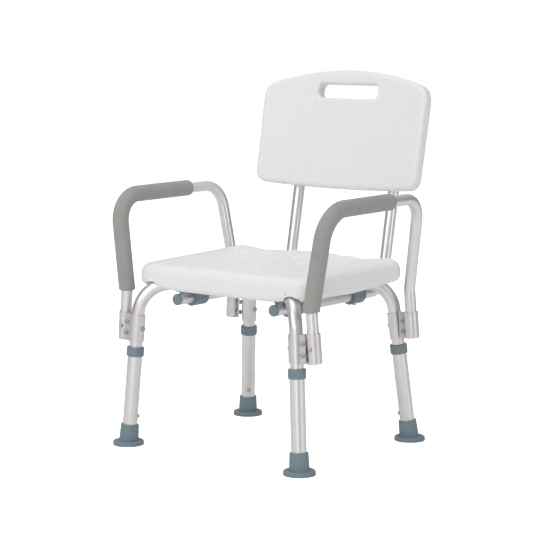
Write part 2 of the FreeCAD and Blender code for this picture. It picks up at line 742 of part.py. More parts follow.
def hex_prism(start, direction, half_flats, length):
    """Hexagonal head or nut, with its flats a given distance from the axis."""
    radius = half_flats / math.cos(math.pi / 6)
    corners = [
        Vector(radius * math.cos(i * math.pi / 3), radius * math.sin(i * math.pi / 3), 0)
        for i in range(7)
    ]
    prism = Part.Face(Part.makePolygon(corners)).extrude(Vector(0, 0, length))
    sideways = unit(-direction.y, direction.x) if abs(direction.z) < 0.9 else Vector(1, 0, 0)
    prism.Placement = frame_at(start, direction, sideways)
    return prism


# ---------------------------------------------------------------- arm brackets


def socket_line(end, side):
    """Centre of an arm socket at its stated height, and its upward direction."""
    point = chair_point(
        SIDES[side] * dim(f"socket_x_{end}"),
        dim(f"socket_y_{end}"),
        dim("socket_middle"),
    )
    lean = Vector(-SIDES[side] * dim("socket_splay"), -dim("socket_rake"), 1).normalize()
    return point, lean


def point_at_height(point, lean, height):
    return point + lean * ((height - point.z) / lean.z)


def sleeve_middle(end, side):
    foot, lean = leg_line(end, side)
    return foot + lean * (dim("sleeve_bottom") + dim("sleeve_length") / 2)


def rivet_direction(end, side):
    """Inboard direction square to the leg."""
    lean = leg_line(end, side)[1]
    inboard = Vector(-SIDES[side], 0, 0)
    return (inboard - lean * lean.dot(inboard)).normalize()


# Ears that join a leg sleeve to an arm socket. The front ears lie across the chair, so their
# bolts run fore and aft; the rear ears lie aslant, tangent to both tubes.
# face: the way the plates' outer faces look; reach: the way a plate runs from the socket.
EARS = {
    "front": {"face": lambda s: unit(0, -1), "reach": lambda s: unit(-s, 0)},
    "rear": {"face": lambda s: unit(-0.79 * s, 0.61), "reach": lambda s: unit(-0.61 * s, -0.79)},
}


def eared_tube(label, cells, face, reach):
    """Short tube with a flat ear along it. Local X is the way the ear faces, and the ear runs
    along local Y, toward positive Y where reach is positive."""
    body = new_body(label)
    outer = new_sketch(body, "outer", "XY_Plane", cells["low"])
    add_circle(outer, cells["radius"])
    pad(body, outer, "tube", cells["length"])
    if "round" in cells:
        low_rim = lambda e: is_circle(e, dim("socket_radius"), 0.0)
        fillet(body, "floor_rounding", cells["round"], low_rim)
    ear = new_sketch(body, "ear", "XY_Plane", cells["low"])
    inner_face = face - dim("ear_thickness")
    add_rectangle(ear, inner_face, min(0.0, reach), face, max(0.0, reach))
    pad(body, ear, "ear_plate", cells["length"])
    bore = new_sketch(body, "bore", "XY_Plane", cells["bore_low"])
    add_circle(bore, cells["bore"])
    pocket(body, bore, "bore_cut", cells["length"] + " + 5", flipped=True)
    return body


def socket_frame(end, side):
    """Arm socket's own frame: Z up the socket from its floor, X the way its ear faces."""
    point, lean = socket_line(end, side)
    base = point_at_height(point, lean, dim(f"socket_bottom_{end}"))
    return frame_at(base, lean, EARS[end]["face"](SIDES[side]))


def sleeve_frame(end, side):
    """Leg sleeve's own frame: Z up the leg from the floor, X the way its ear faces."""
    foot, lean = leg_line(end, side)
    return frame_at(foot, lean, EARS[end]["face"](SIDES[side]))


def ear_run(placement, reach):
    """Plus or minus one: which way along its local Y an ear runs."""
    y_axis = placement.Rotation.multVec(Vector(0, 1, 0))
    return 1 if y_axis.dot(reach) > 0 else -1


def bracket_bolts(end, side):
    """Where both bolts of a bracket leave the socket ear's inner face, and their direction."""
    placement = socket_frame(end, side)
    run = ear_run(placement, EARS[end]["reach"](SIDES[side]))
    direction = placement.Rotation.multVec(Vector(1, 0, 0))
    middle = dim("socket_middle") - dim(f"socket_bottom_{end}")
    inner_face = dim(f"{end}_socket_face") - dim("ear_thickness")
    starts = []
    for half in (-0.5, 0.5):
        height = middle + half * dim("bolt_spread")
        local = Vector(inner_face, run * dim(f"{end}_bolt_reach"), height)
        starts.append(placement.multVec(local))
    return starts, direction


def meets_sleeve_ear(end, side, start, direction, depth):
    """Where a bolt's line meets a plane of the sleeve's ear, in the sleeve's own frame."""
    inverse = sleeve_frame(end, side).inverse()
    local_start = inverse.multVec(start)
    local_way = inverse.Rotation.multVec(direction)
    return local_start + local_way * ((depth - local_start.x) / local_way.x)


def bolt_holes(body, face, centres, radius):
    """Round holes square through an ear, at local Y and Z places."""
    holes = new_sketch(body, "bolt_holes", "YZ_Plane", f"{face + 1.0} mm")
    for place_y, place_z in centres:
        add_circle(holes, radius, place_y, place_z)
    return pocket(body, holes, "bolt_hole_cut", "Dims.ear_thickness + 1.2")


def cross_hole(body, name, placement, direction, radius, height, height_cell, reach):
    """Hole through one wall of a tube, toward a direction given in the chair's frame."""
    local = placement.Rotation.inverted().multVec(direction)
    angle = math.degrees(math.atan2(local.y, local.x))
    sketch = new_sketch(body, name, "YZ_Plane")
    sketch.AttachmentOffset = Placement(Vector(0, 0, 0), Rotation(Vector(0, 1, 0), angle))
    add_circle(sketch, radius, 0.0, height, None, height_cell)
    return pocket(body, sketch, name + "_cut", reach, flipped=True)


def arm_socket(end, side):
    """Closed-ended socket for one leg of an arm, with the ear that is bolted to the sleeve."""
    placement = socket_frame(end, side)
    run = ear_run(placement, EARS[end]["reach"](SIDES[side]))
    face = dim(f"{end}_socket_face")
    cells = {
        "radius": "Dims.socket_radius",
        "bore": "Dims.arm_radius + Dims.slide_fit",
        "low": "0",
        "length": f"Dims.socket_length_{end}",
        "bore_low": "Dims.socket_floor",
        "round": "Dims.socket_floor * 0.9",
    }
    name = f"arm_socket_{end}_{side}"
    body = eared_tube(name, cells, face, run * dim(f"{end}_socket_reach"))
    middle = dim("socket_middle") - dim(f"socket_bottom_{end}")
    spread = dim("bolt_spread") / 2
    place_y = run * dim(f"{end}_bolt_reach")
    centres = [(place_y, middle - spread), (place_y, middle + spread)]
    bolt_holes(body, face, centres, "Dims.bolt_radius + Dims.fit")
    cross_hole(
        body,
        "button_hole",
        placement,
        Vector(0, ENDS[end], 0),
        "Dims.hole_radius",
        middle,
        f"Dims.socket_middle - Dims.socket_bottom_{end}",
        "Dims.socket_radius + 5",
    )
    return keep(body, name, placement)


def leg_sleeve(end, side):
    """Sleeve round the upper leg, with the ear that the arm socket is bolted to."""
    placement = sleeve_frame(end, side)
    run = -ear_run(placement, EARS[end]["reach"](SIDES[side]))
    face = dim(f"{end}_sleeve_face")
    cells = {
        "radius": "Dims.sleeve_radius",
        "bore": "Dims.cross_radius + Dims.fit",
        "low": "Dims.sleeve_bottom",
        "length": "Dims.sleeve_length",
        "bore_low": "Dims.sleeve_bottom - 1",
    }
    name = f"leg_sleeve_{end}_{side}"
    body = eared_tube(name, cells, face, run * dim(f"{end}_sleeve_reach"))
    starts, direction = bracket_bolts(end, side)
    depth = face - dim("ear_thickness") / 2
    hits = [meets_sleeve_ear(end, side, start, direction, depth) for start in starts]
    centres = [(hit.y, hit.z) for hit in hits]
    radius = "Dims.bolt_radius + Dims.bolt_hole_slack"
    bolt_holes(body, face, centres, radius)
    cross_hole(
        body,
        "rivet_hole",
        placement,
        rivet_direction(end, side),
        "Dims.rivet_radius + Dims.fit",
        dim("sleeve_bottom") + dim("sleeve_length") / 2,
        "Dims.sleeve_bottom + Dims.sleeve_length / 2",
        "Dims.sleeve_radius + 5",
    )
    return keep(body, name, placement)


def socket_bolts():
    """Bolts of all four brackets: domed heads at the front, hexagon heads at the rear."""
    solids = []
    for end, side in CORNERS:
        starts, direction = bracket_bolts(end, side)
        outer = dim(f"{end}_sleeve_face")
        frame = sleeve_frame(end, side)
        for start in starts:
            hit = frame.multVec(meets_sleeve_ear(end, side, start, direction, outer))
            span = (hit - start).dot(direction)
            if end == "rear":
                height = dim("rear_head_height")
                low = start - direction * (height + 0.05)
                head = hex_prism(low, direction, dim("rear_head_flats"), height)
                shank = rod(low, direction, dim("bolt_radius"), span + height - 0.2)
                solids.append(shank.fuse(head).removeSplitter())
                continue
            head_start = start + direction * (span + 0.35)
            shank = rod(start, direction, dim("bolt_radius"), span + 1.0)
            solids.append(shank.fuse(bolt_head(head_start, direction)).removeSplitter())
    return feature("socket_bolts", Part.makeCompound(solids))


def bolt_head(start, direction):
    """Low domed head."""
    head = rod(start, direction, dim("head_radius"), dim("head_height"))
    outer = [e for e in head.Edges if is_far_rim(e, start, direction)]
    return head.makeFillet(dim("head_round"), outer)


def is_far_rim(edge, start, direction):
    """True for the circle at the far end of a head."""
    if not isinstance(edge.Curve, Part.Circle):
        return False
    return (edge.Curve.Center - start).dot(direction) > 1.0


def socket_nuts():
    """Nuts between the ears of the brackets, one round each bolt."""
    solids = []
    for end, side in CORNERS:
        starts, direction = bracket_bolts(end, side)
        inner = dim(f"{end}_sleeve_face") - dim("ear_thickness")
        frame = sleeve_frame(end, side)
        for start in starts:
            hit = frame.multVec(meets_sleeve_ear(end, side, start, direction, inner))
            space = (hit - start).dot(direction) - dim("ear_thickness")
            low = start + direction * (dim("ear_thickness") + 0.1)
            length = space - 0.6
            nut = hex_prism(low, direction, dim("nut_flats"), length)
            bore = rod(low - direction, direction, dim("bolt_radius") + dim("fit"), length + 2)
            solids.append(nut.cut(bore))
    return feature("socket_nuts", Part.makeCompound(solids))


def sleeve_rivets():
    """Rivets that fix the four sleeves to the upper legs."""
    solids = []
    for end, side in CORNERS:
        middle = sleeve_middle(end, side)
        direction = rivet_direction(end, side)
        tail = middle + direction * dim("rivet_tail")
        shank = rod(tail, direction, dim("rivet_radius"), dim("rivet_length"))
        head = bolt_head(middle + direction * (dim("sleeve_radius") + 0.1), direction)
        solids.append(shank.fuse(head).removeSplitter())
    return feature("sleeve_rivets", Part.makeCompound(solids))


# ---------------------------------------------------------------- arms


def arm_points(side):
    """Centre line of an arm, from its front lower end to its rear lower end."""
    sign = SIDES[side]
    front = socket_line("front", side)
    rear = socket_line("rear", side)
    gap = dim("socket_floor") + dim("arm_foot_gap")
    return [
        point_at_height(*front, dim("socket_bottom_front") + gap),
        point_at_height(*front, dim("arm_kink")),
        chair_point(sign * dim("arm_x_front"), dim("arm_y_front"), dim("arm_height_front")),
        chair_point(sign * dim("arm_x_rear"), dim("arm_y_rear"), dim("arm_height_rear")),
        point_at_height(*rear, dim("arm_kink")),
        point_at_height(*rear, dim("socket_bottom_rear") + gap),
    ]


def arm_radii():
    kink = dim("arm_bend_kink")
    return [kink, dim("arm_bend_front"), dim("arm_bend_rear"), kink]


def arm_button_frame(end, side):
    """Z up the socket, X the way the arm's button points."""
    point, lean = socket_line(end, side)
    return frame_at(point, lean, Vector(0, ENDS[end], 0))


def arm_tube(side):
    """Bent tube of an arm with a button hole in each leg."""
    path = bent_path(arm_points(side), arm_radii())
    tube = tube_along(path, dim("arm_radius"), dim("arm_wall"))
    for end in ENDS:
        frame = arm_button_frame(end, side)
        way = frame.Rotation.multVec(Vector(1, 0, 0))
        tube = tube.cut(rod(frame.Base, way, dim("hole_radius"), dim("arm_radius") + 3))
    return feature(f"arm_tube_{side}", tube)


def arm_grip(side):
    """Foam sleeve from the front leg of the arm round the bend and along the arm rest."""
    points = arm_points(side)
    front = socket_line("front", side)
    base = point_at_height(*front, dim("arm_kink") - dim("grip_drop"))
    rest_way = Vector(points[3] - points[2]).normalize()
    reach = dim("grip_rear_end") - dim("arm_y_front")
    end = points[2] + rest_way * (reach / rest_way.y)
    whole = bent_path([base, points[1], points[2], end], arm_radii()[:2])
    path = shortened(whole, dim(f"grip_low_{side}"))
    start = path.Edges[0].valueAt(path.Edges[0].FirstParameter)
    outer = swept_solid(path, dim("grip_radius"))
    for rounding, foam_end in (("grip_round_low", start), ("grip_round_rear", end)):
        rim = [e for e in outer.Edges if is_ring_at(e, foam_end)]
        outer = outer.makeFillet(dim(rounding), rim)
    bore = swept_solid(path, dim("arm_radius") + dim("fit"))
    return feature(f"arm_grip_{side}", outer.cut(bore))


def is_ring_at(edge, centre):
    """True for an edge whose points all lie near a foam end."""
    middle = edge.CenterOfMass
    return (middle - centre).Length < 1.0 and edge.Length > 50


def arm_button(end, side):
    inner = dim("arm_radius") - dim("arm_wall")
    frame = arm_button_frame(end, side)
    return snap_button(f"arm_button_{end}_{side}", frame, dim("socket_radius"), inner)


def arm_button_springs(side):
    inner = dim("arm_radius") - dim("arm_wall")
    clips = [spring_clip(arm_button_frame(end, side), inner) for end in ENDS]
    return feature(f"arm_button_springs_{side}", Part.makeCompound(clips))


# ---------------------------------------------------------------- backrest tubes and brackets


def lean_way():
    """Upward direction of the back tubes' posts and of the backrest."""
    angle = math.radians(dim("back_lean"))
    return Vector(0, math.sin(angle), math.cos(angle))


def back_points(side):
    x = SIDES[side] * dim("back_x")
    corner = chair_point(x, dim("back_corner"), dim("back_height"))
    rise = (dim("post_top") - dim("back_height")) / lean_way().z
    return [
        chair_point(x, dim("back_front"), dim("back_height")),
        corner,
        corner + lean_way() * rise,
    ]


def back_button_frame(side):
    """X down through the rear saddle bracket, Z rearward along the tube."""
    point = chair_point(SIDES[side] * dim("back_x"), dim("saddle_y_rear"), dim("back_height"))
    return frame_at(point, Vector(0, 1, 0), Vector(0, 0, -1))


def back_tube(side):
    path = bent_path(back_points(side), [dim("back_bend")])
    tube = tube_along(path, dim("arm_radius"), dim("arm_wall"))
    point = back_button_frame(side).Base
    tube = tube.cut(rod(point, -UP, dim("hole_radius"), dim("arm_radius") + 3))
    return feature(f"back_tube_{side}", tube)


def back_tube_cap(side):
    """Plug in the front end of a back tube."""
    body = new_body(f"back_tube_cap_{side}")
    disc = new_sketch(body, "disc", "XY_Plane")
    add_circle(disc, "Dims.arm_radius")
    pad(body, disc, "cap", "Dims.cap_thickness")
    fillet(body, "rounding", "Dims.cap_thickness * 0.5", lambda e: e.CenterOfMass.z > 1)
    stem = new_sketch(body, "stem", "XY_Plane")
    add_circle(stem, "Dims.arm_radius - Dims.arm_wall - Dims.fit")
    plug = pad(body, stem, "plug", "Dims.cap_plug")
    plug.Reversed = True
    point = back_points(side)[0] - Vector(0, 0.1, 0)
    placement = frame_at(point, Vector(0, -1, 0), Vector(1, 0, 0))
    return keep(body, f"back_tube_cap_{side}", placement)


def back_button(side):
    inner = dim("arm_radius") - dim("arm_wall")
    frame = back_button_frame(side)
    return snap_button(f"back_button_{side}", frame, dim("saddle_radius"), inner)


def back_button_springs():
    inner = dim("arm_radius") - dim("arm_wall")
    clips = [spring_clip(back_button_frame(side), inner) for side in SIDES]
    return feature("back_button_springs", Part.makeCompound(clips))


def saddle_bracket(end, side):
    """Bracket under the seat that a back tube slides in, with wings screwed to the seat."""
    name = f"saddle_bracket_{end}_{side}"
    body = new_body(name + "_blank")
    top = dim(f"saddle_top_{end}") - dim("back_height")
    plate_low = top - dim("saddle_plate")
    radius = dim("saddle_radius")
    profile = new_sketch(body, "profile", "XZ_Plane")
    corners = [
        Vector(radius, 0, 0),
        Vector(radius, plate_low - 4, 0),
        Vector(dim("saddle_wing"), plate_low + 2, 0),
        Vector(dim("saddle_wing"), top, 0),
        Vector(-dim("saddle_wing"), top, 0),
        Vector(-dim("saddle_wing"), plate_low + 2, 0),
        Vector(-radius, plate_low - 4, 0),
        Vector(-radius, 0, 0),
    ]
    for start, stop in zip(corners, corners[1:]):
        profile.addGeometry(Part.LineSegment(start, stop))
    profile.addGeometry(Part.Arc(corners[-1], Vector(0, -radius, 0), corners[0]))
    pad(body, profile, "block", "Dims.saddle_length", both_ways=True)
    bore = new_sketch(body, "bore", "XZ_Plane")
    add_circle(bore, "Dims.arm_radius + Dims.slide_fit")
    pocket(body, bore, "bore_cut", "Dims.saddle_length * 2", both_ways=True)
    if end == "rear":
        hole = new_sketch(body, "hole", "XY_Plane")
        add_circle(hole, "Dims.hole_radius")
        pocket(body, hole, "button_hole", "Dims.saddle_radius + 5")
    notch = doc.addObject("Part::Feature", name + "_tube_room")
    centre = chair_point(SIDES[side] * dim("back_x"), dim(f"saddle_y_{end}"), dim("back_height"))
    crossing_side = side if end == "front" else ("right" if side == "left" else "left")
    room = cross_solid(crossing_side, 0.0, -dim("saddle_notch"))
    room.translate(centre * -1)
    notch.Shape = room
    cut = doc.addObject("Part::Cut", name + "_cut")
    cut.Base = body
    cut.Tool = notch
    body.Visibility = False
    return keep(cut, name, Placement(centre, Rotation()))


def bracket_screws():
    """Screws up through the free wings of the saddle brackets into the seat."""
    solids = []
    for end, side in CORNERS:
        sign = SIDES[side]
        outward = 1 if end == "front" else -1
        x = sign * (dim("back_x") + outward * dim("wing_screw_reach"))
        low = dim(f"saddle_top_{end}") - dim("saddle_plate") + 0.2
        offsets = (-9.0, 9.0) if end == "front" else (-3.0, 11.0)
        for offset in offsets:
            point = chair_point(x, dim(f"saddle_y_{end}") + offset, low)
            head = rod(point, -UP, dim("wing_screw_head"), dim("wing_screw_rim"))
            shank = rod(point - UP, UP, dim("wing_screw_radius"), dim("wing_screw_length"))
            solids.append(head.fuse(shank).removeSplitter())
    return feature("bracket_screws", Part.makeCompound(solids))


# ---------------------------------------------------------------- backrest panel


def panel_frame():
    """Backrest's own frame: Z up its lean from the middle of its bottom edge, Y rearward."""
    low = chair_point(0, dim("panel_y"), dim("panel_bottom"))
    return frame_at(low, lean_way(), Vector(1, 0, 0))


def post_offset():
    """Local Y of the post centres behind the panel."""
    return panel_frame().inverse().multVec(back_points("left")[1]).y


def arc_through(sketch, start, middle, stop):
    return sketch.addGeometry(
        Part.Arc(Vector(*start, 0), Vector(*middle, 0), Vector(*stop, 0))
    )


def line_through(sketch, start, stop):
    return sketch.addGeometry(Part.LineSegment(Vector(*start, 0), Vector(*stop, 0)))


def curve_trim(body, name, near_side):
    """Cut the panel blank back to its curved front or rear surface."""
    sign = -1 if near_side else 1
    half = dim("panel_width") / 2 + 10
    curve = dim("panel_curve")
    at_edge = sign * dim("panel_thickness") / 2 - half**2 / (2 * curve)
    at_middle = sign * dim("panel_thickness") / 2
    far = sign * 90
    sketch = new_sketch(body, name, "XY_Plane")
    arc_through(sketch, (-half, at_edge), (0, at_middle), (half, at_edge))
    line_through(sketch, (half, at_edge), (half, far))
    line_through(sketch, (half, far), (-half, far))
    line_through(sketch, (-half, far), (-half, at_edge))
    return pocket(body, sketch, name + "_cut", "Dims.panel_height * 3", both_ways=True)


def panel_blank():
    """Arched outline, curved in plan, with a hand slot and rounded edges."""
    body = new_body("panel_blank")
    half = dim("panel_width") / 2
    outline = new_sketch(body, "outline", "XZ_Plane")
    low_side = (half - 3, 4.5)
    shoulder = (half, dim("panel_shoulder"))
    top = (0, dim("panel_height"))
    line_through(outline, low_side, shoulder)
    arc_through(outline, shoulder, top, (-shoulder[0], shoulder[1]))
    line_through(outline, (-shoulder[0], shoulder[1]), (-low_side[0], low_side[1]))
    arc_through(outline, (-low_side[0], low_side[1]), (0, 0), low_side)
    pad(body, outline, "blank", "Dims.panel_thickness * 4", both_ways=True)
    curve_trim(body, "front_curve", True)
    curve_trim(body, "rear_curve", False)
    fillet(body, "low_corners", "Dims.panel_corner_low", lambda e: is_panel_corner(e, True))
    fillet(body, "high_corners", "Dims.panel_corner_high", lambda e: is_panel_corner(e, False))
    fillet(body, "edge_rounding", "Dims.panel_round", is_panel_rim)
    slot = new_sketch(body, "slot", "XZ_Plane")
    slot_outline(slot)
    pocket(body, slot, "slot_cut", "Dims.panel_width", both_ways=True)
    fillet(body, "slot_rounding", "Dims.slot_round", is_slot_rim)
    return body


def slot_outline(sketch):
    """Rounded rectangle of the hand slot."""
    half_width = dim("slot_width") / 2
    low = dim("slot_centre") - dim("slot_height") / 2
    high = dim("slot_centre") + dim("slot_height") / 2
    corner = dim("slot_corner")
    inset = corner * (1 - math.sqrt(0.5))
    for sign in (-1, 1):
        edge_y = high if sign > 0 else low
        inner_y = edge_y - sign * corner
        line_through(sketch, (-half_width + corner, edge_y), (half_width - corner, edge_y))
        for turn in (-1, 1):
            arc_through(
                sketch,
                (turn * (half_width - corner), edge_y),
                (turn * (half_width - inset), edge_y - sign * inset),
                (turn * half_width, inner_y),
            )
    for turn in (-1, 1):
        line_through(sketch, (turn * half_width, low + corner), (turn * half_width, high - corner))


def is_panel_corner(edge, low):
    """True for the short edges through the panel's thickness at its outline's corners."""
    middle = edge.CenterOfMass
    if abs(middle.x) < dim("panel_width") / 2 - 6 or edge.Length > dim("panel_thickness") * 1.5:
        return False
    return middle.z < dim("panel_height") / 2 if low else middle.z > dim("panel_height") / 2


def surface_gap(point):
    """Distance of a point in front of or behind the panel's middle surface."""
    return point.y + point.x**2 / (2 * dim("panel_curve"))


def is_panel_rim(edge):
    """True for the edges all round the front and rear surfaces."""
    samples = [edge.valueAt(p) for p in edge_parameters(edge)]
    half = dim("panel_thickness") / 2
    return all(abs(abs(surface_gap(p)) - half) < 0.7 for p in samples)


def is_slot_rim(edge):
    samples = [edge.valueAt(p) for p in edge_parameters(edge)]
    half = dim("panel_thickness") / 2
    on_surface = all(abs(abs(surface_gap(p)) - half) < 0.7 for p in samples)
    inside_x = all(abs(p.x) < dim("slot_width") / 2 + 1 for p in samples)
    reach = dim("slot_height") / 2 + 1
    inside_z = all(abs(p.z - dim("slot_centre")) < reach for p in samples)
    return on_surface and inside_x and inside_z


def edge_parameters(edge):
    first, last = edge.ParameterRange
    return [first + (last - first) * share for share in (0.0, 0.25, 0.5, 0.75, 1.0)]


def primitive(kind, name, values, placement):
    item = doc.addObject(kind, name)
    for key, expression in values.items():
        item.setExpression(key, expression)
    item.Placement = placement
    return item


def backrest_panel():
    """Panel with two ridges on its rear that take the posts of the back tubes."""
    blank = panel_blank()
    ridges = [blank]
    bores = []
    for side, sign in SIDES.items():
        base = Vector(sign * dim("back_x"), post_offset(), 0)
        ridge = primitive(
            "Part::Cylinder",
            f"ridge_{side}",
            {"Radius": "Dims.ridge_radius", "Height": "Dims.ridge_length"},
            Placement(base + UP * dim("ridge_low"), Rotation()),
        )
        dome = primitive(
            "Part::Sphere",
            f"ridge_top_{side}",
            {"Radius": "Dims.ridge_radius"},
            Placement(base + UP * (dim("ridge_low") + dim("ridge_length")), Rotation()),
        )
        bore = primitive(
            "Part::Cylinder",
            f"post_bore_{side}",
            {"Radius": "Dims.arm_radius + Dims.fit", "Height": "Dims.post_bore + 10"},
            Placement(base - UP * 10, Rotation()),
        )
        ridges += [ridge, dome]
        bores.append(bore)
    whole = doc.addObject("Part::MultiFuse", "panel_with_ridges")
    whole.Shapes = ridges
    room = doc.addObject("Part::MultiFuse", "post_bores")
    room.Shapes = bores
    cut = doc.addObject("Part::Cut", "panel_cut")
    cut.Base = whole
    cut.Tool = room
    return keep(cut, "backrest_panel", panel_frame())


def backrest_screws():
    """Screws through the rear of the ridges into the posts."""
    solids = []
    frame = panel_frame()
    way = frame.Rotation.multVec(Vector(0, -1, 0))
    for sign in SIDES.values():
        for height in (dim("post_screw_low"), dim("post_screw_high")):
            local = Vector(sign * dim("back_x"), post_offset() + dim("ridge_radius") - 0.6, height)
            start = frame.multVec(local)
            shank = rod(start, way, dim("post_screw_radius"), dim("post_screw_length"))
            head = bolt_head(start - way * 0.01, way * -1)
            solids.append(shank.fuse(head).removeSplitter())
    return feature("backrest_screws", Part.makeCompound(solids))


# ---------------------------------------------------------------- seat panel


def seat_frame():
    """Seat's own frame: origin in the middle of its underside, tilted up to the rear."""
    angle = math.radians(dim("seat_tilt"))
    rise = Vector(0, -math.sin(angle), math.cos(angle))
    return frame_at(chair_point(0, 0, dim("seat_underside")), rise, Vector(1, 0, 0))


def drain_places():
    """Staggered pattern of drain holes, from the middle of the seat."""
    pitch = dim("drain_pitch")
    places = []
    for row in range(-2, 3):
        y = row * pitch + dim("drain_centre")
        if row % 2:
            columns = (-2, 0, 2)
        else:
            columns = (-1, 1)
        places += [(column * pitch, y) for column in columns]
    return places


def seat_channels():
    """Two crossing channels along the cross tubes, from their front bends out past the rear."""
    frame = seat_frame().inverse()
    half = dim("channel_width") / 2
    for side in SIDES:
        _, front, rear, _ = cross_points(side)
        start = frame.multVec(front)
        stop = frame.multVec(rear)
        way = Vector(stop.x - start.x, stop.y - start.y, 0).normalize()
        across = Vector(-way.y, way.x, 0) * half
        start = Vector(start.x, start.y, 0) + way * dim("cross_bend")
        stop = Vector(stop.x, stop.y, 0) + way * dim("cross_bend")
        yield [start - across, start + across, stop + across, stop - across]


def front_bend_room(side):
    """Room for the front bend of a cross tube, open downward."""
    low, corner, far, _ = cross_points(side)
    inner = corner + (far - corner).normalize() * (dim("cross_bend") * 1.5)
    path = bent_path([low, corner, inner], [dim("cross_bend")])
    bar = swept_solid(path, dim("cross_radius") + dim("tube_room"))
    room = bar.copy()
    for drop in (0.5, 1.0):
        lower = bar.copy()
        lower.translate(UP * (-drop * dim("cross_radius")))
        room = room.fuse(lower)
    return room


def seat_panel():
    """Seat: rounded slab, drain holes with dimples, channels and tube scallops underneath."""
    body = new_body("seat_blank")
    outline = new_sketch(body, "outline", "XY_Plane")
    half_x = dim("seat_width") / 2
    half_y = dim("seat_depth") / 2
    cells = [
        "-Dims.seat_width / 2",
        "-Dims.seat_depth / 2",
        "Dims.seat_width / 2",
        "Dims.seat_depth / 2",
    ]
    add_rectangle(outline, -half_x, -half_y, half_x, half_y, cells)
    pad(body, outline, "slab", "Dims.seat_thickness")
    fillet(body, "corners", "Dims.seat_corner", is_upright)
    relief = new_sketch(body, "relief", "YZ_Plane")
    front = dim("seat_lip") - half_y
    add_outline(relief, [(front, 0), (half_y + 1, 0), (half_y + 1, dim("seat_relief"))])
    pocket(body, relief, "relief_cut", "Dims.seat_width + 10", both_ways=True)
    top = dim("seat_thickness")
    fillet(body, "upper_edge", "Dims.seat_round_high", lambda e: is_level_at(e, top))
    fillet(body, "lower_edge", "Dims.seat_round_low", is_seat_underside_rim)
    holes = new_sketch(body, "drains", "XY_Plane", "Dims.seat_thickness")
    for x, y in drain_places():
        add_circle(holes, "Dims.drain_radius", x, y)
    pocket(body, holes, "drain_holes")
    base = body.Tip
    rims = edges_where(base.Shape, lambda e: is_circle(e, dim("drain_radius"), top))
    dimples = body.newObject("PartDesign::Chamfer", "drain_dimples")
    dimples.Base = (base, rims)
    dimples.ChamferType = "Two distances"
    dimples.setExpression("Size", "Dims.drain_dimple - Dims.drain_radius")
    dimples.setExpression("Size2", "Dims.drain_depth")
    for number, corners in enumerate(seat_channels()):
        channel = new_sketch(body, f"channel_{number}", "XY_Plane")
        add_outline(channel, [(c.x, c.y) for c in corners])
        pocket(body, channel, f"channel_cut_{number}", "Dims.channel_depth", flipped=True)
    crossing = seat_frame().inverse().multVec(crossing_point())
    recess = new_sketch(body, "crossing_recess", "XY_Plane")
    add_circle(recess, "Dims.crossing_room", crossing.x, crossing.y)
    pocket(body, recess, "crossing_cut", "Dims.channel_depth", flipped=True)
    vent = new_sketch(body, "vent", "XZ_Plane", "Dims.seat_depth / 2 + 1")
    add_circle(vent, "Dims.vent_radius", dim("vent_x"), dim("vent_z"), "Dims.vent_x", "Dims.vent_z")
    pocket(body, vent, "vent_hole", "Dims.vent_depth")
    rooms = doc.addObject("Part::Feature", "front_bend_rooms")
    room = front_bend_room("left").fuse(front_bend_room("right"))
    room.transformShape(seat_frame().inverse().toMatrix(), True)
    rooms.Shape = room
    cut = doc.addObject("Part::Cut", "seat_cut")
    cut.Base = body
    cut.Tool = rooms
    body.Visibility = False
    return keep(cut, "seat_panel", seat_frame())


def is_seat_underside_rim(edge):
    """True for the rim of the underside, on its level lip and on its rising part."""
    half_x = dim("seat_width") / 2
    half_y = dim("seat_depth") / 2
    samples = [edge.valueAt(p) for p in edge_parameters(edge)]
    low = all(p.z < dim("seat_relief") + 1 for p in samples)
    inner = all(abs(p.x) < half_x - 15 and abs(p.y) < half_y - 15 for p in samples[1:-1])
    return low and not inner


def is_upright(edge):
    way = edge.tangentAt(edge.FirstParameter)
    return abs(way.z) > 0.99


def is_level_at(edge, height):
    return all(abs(edge.valueAt(p).z - height) < 0.01 for p in edge_parameters(edge))


def build_model():
    seat_panel()
    backrest_panel()
    cross_tube("cross_tube_a", "left", -dim("flat_half_height") - dim("flat_gap"))
    cross_tube("cross_tube_b", "right", dim("flat_half_height") + dim("flat_gap"))
    cross_bolt()
    cross_nut()
    seat_screws()
    for end, side in CORNERS:
        lower_leg(end, side)
        leg_collar(end, side)
        foot_pad(end, side)
        leg_button(end, side)
        arm_socket(end, side)
        leg_sleeve(end, side)
        arm_button(end, side)
        saddle_bracket(end, side)
    leg_button_springs()
    socket_bolts()
    socket_nuts()
    sleeve_rivets()
    bracket_screws()
    for side in SIDES:
        arm_tube(side)
        arm_grip(side)
        arm_button_springs(side)
        back_tube(side)
        back_tube_cap(side)
        back_button(side)
    back_button_springs()
    backrest_screws()


def check_document():
    """Stop at any object that failed to compute."""
    doc.recompute()
    for item in doc.Objects:
        if "Invalid" in item.State or "Error" in item.State:
            raise RuntimeError(f"{item.Name} failed: {item.State}")


def export_parts():
    for item in SUB_PARTS:
        shape = item.Shape
        if shape.isNull() or not shape.isValid() or not shape.Solids:
            raise RuntimeError(f"{item.Label} has no valid solid")
        shape.exportStep(f"parts/{item.Label}.step")


build_model()
check_document()
export_parts()
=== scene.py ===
import json
import math

import bpy
import numpy as np
from mathutils import Matrix, Vector, noise


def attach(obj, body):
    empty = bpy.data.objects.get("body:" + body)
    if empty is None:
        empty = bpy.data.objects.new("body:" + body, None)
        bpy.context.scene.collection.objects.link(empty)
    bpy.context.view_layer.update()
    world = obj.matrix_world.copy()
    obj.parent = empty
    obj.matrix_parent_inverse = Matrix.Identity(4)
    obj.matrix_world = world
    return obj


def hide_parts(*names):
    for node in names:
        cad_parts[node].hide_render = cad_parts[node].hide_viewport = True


# Looks of a shower chair: metres, the chair faces -Y, +X is the sitter's left, Z = 0 is the floor.

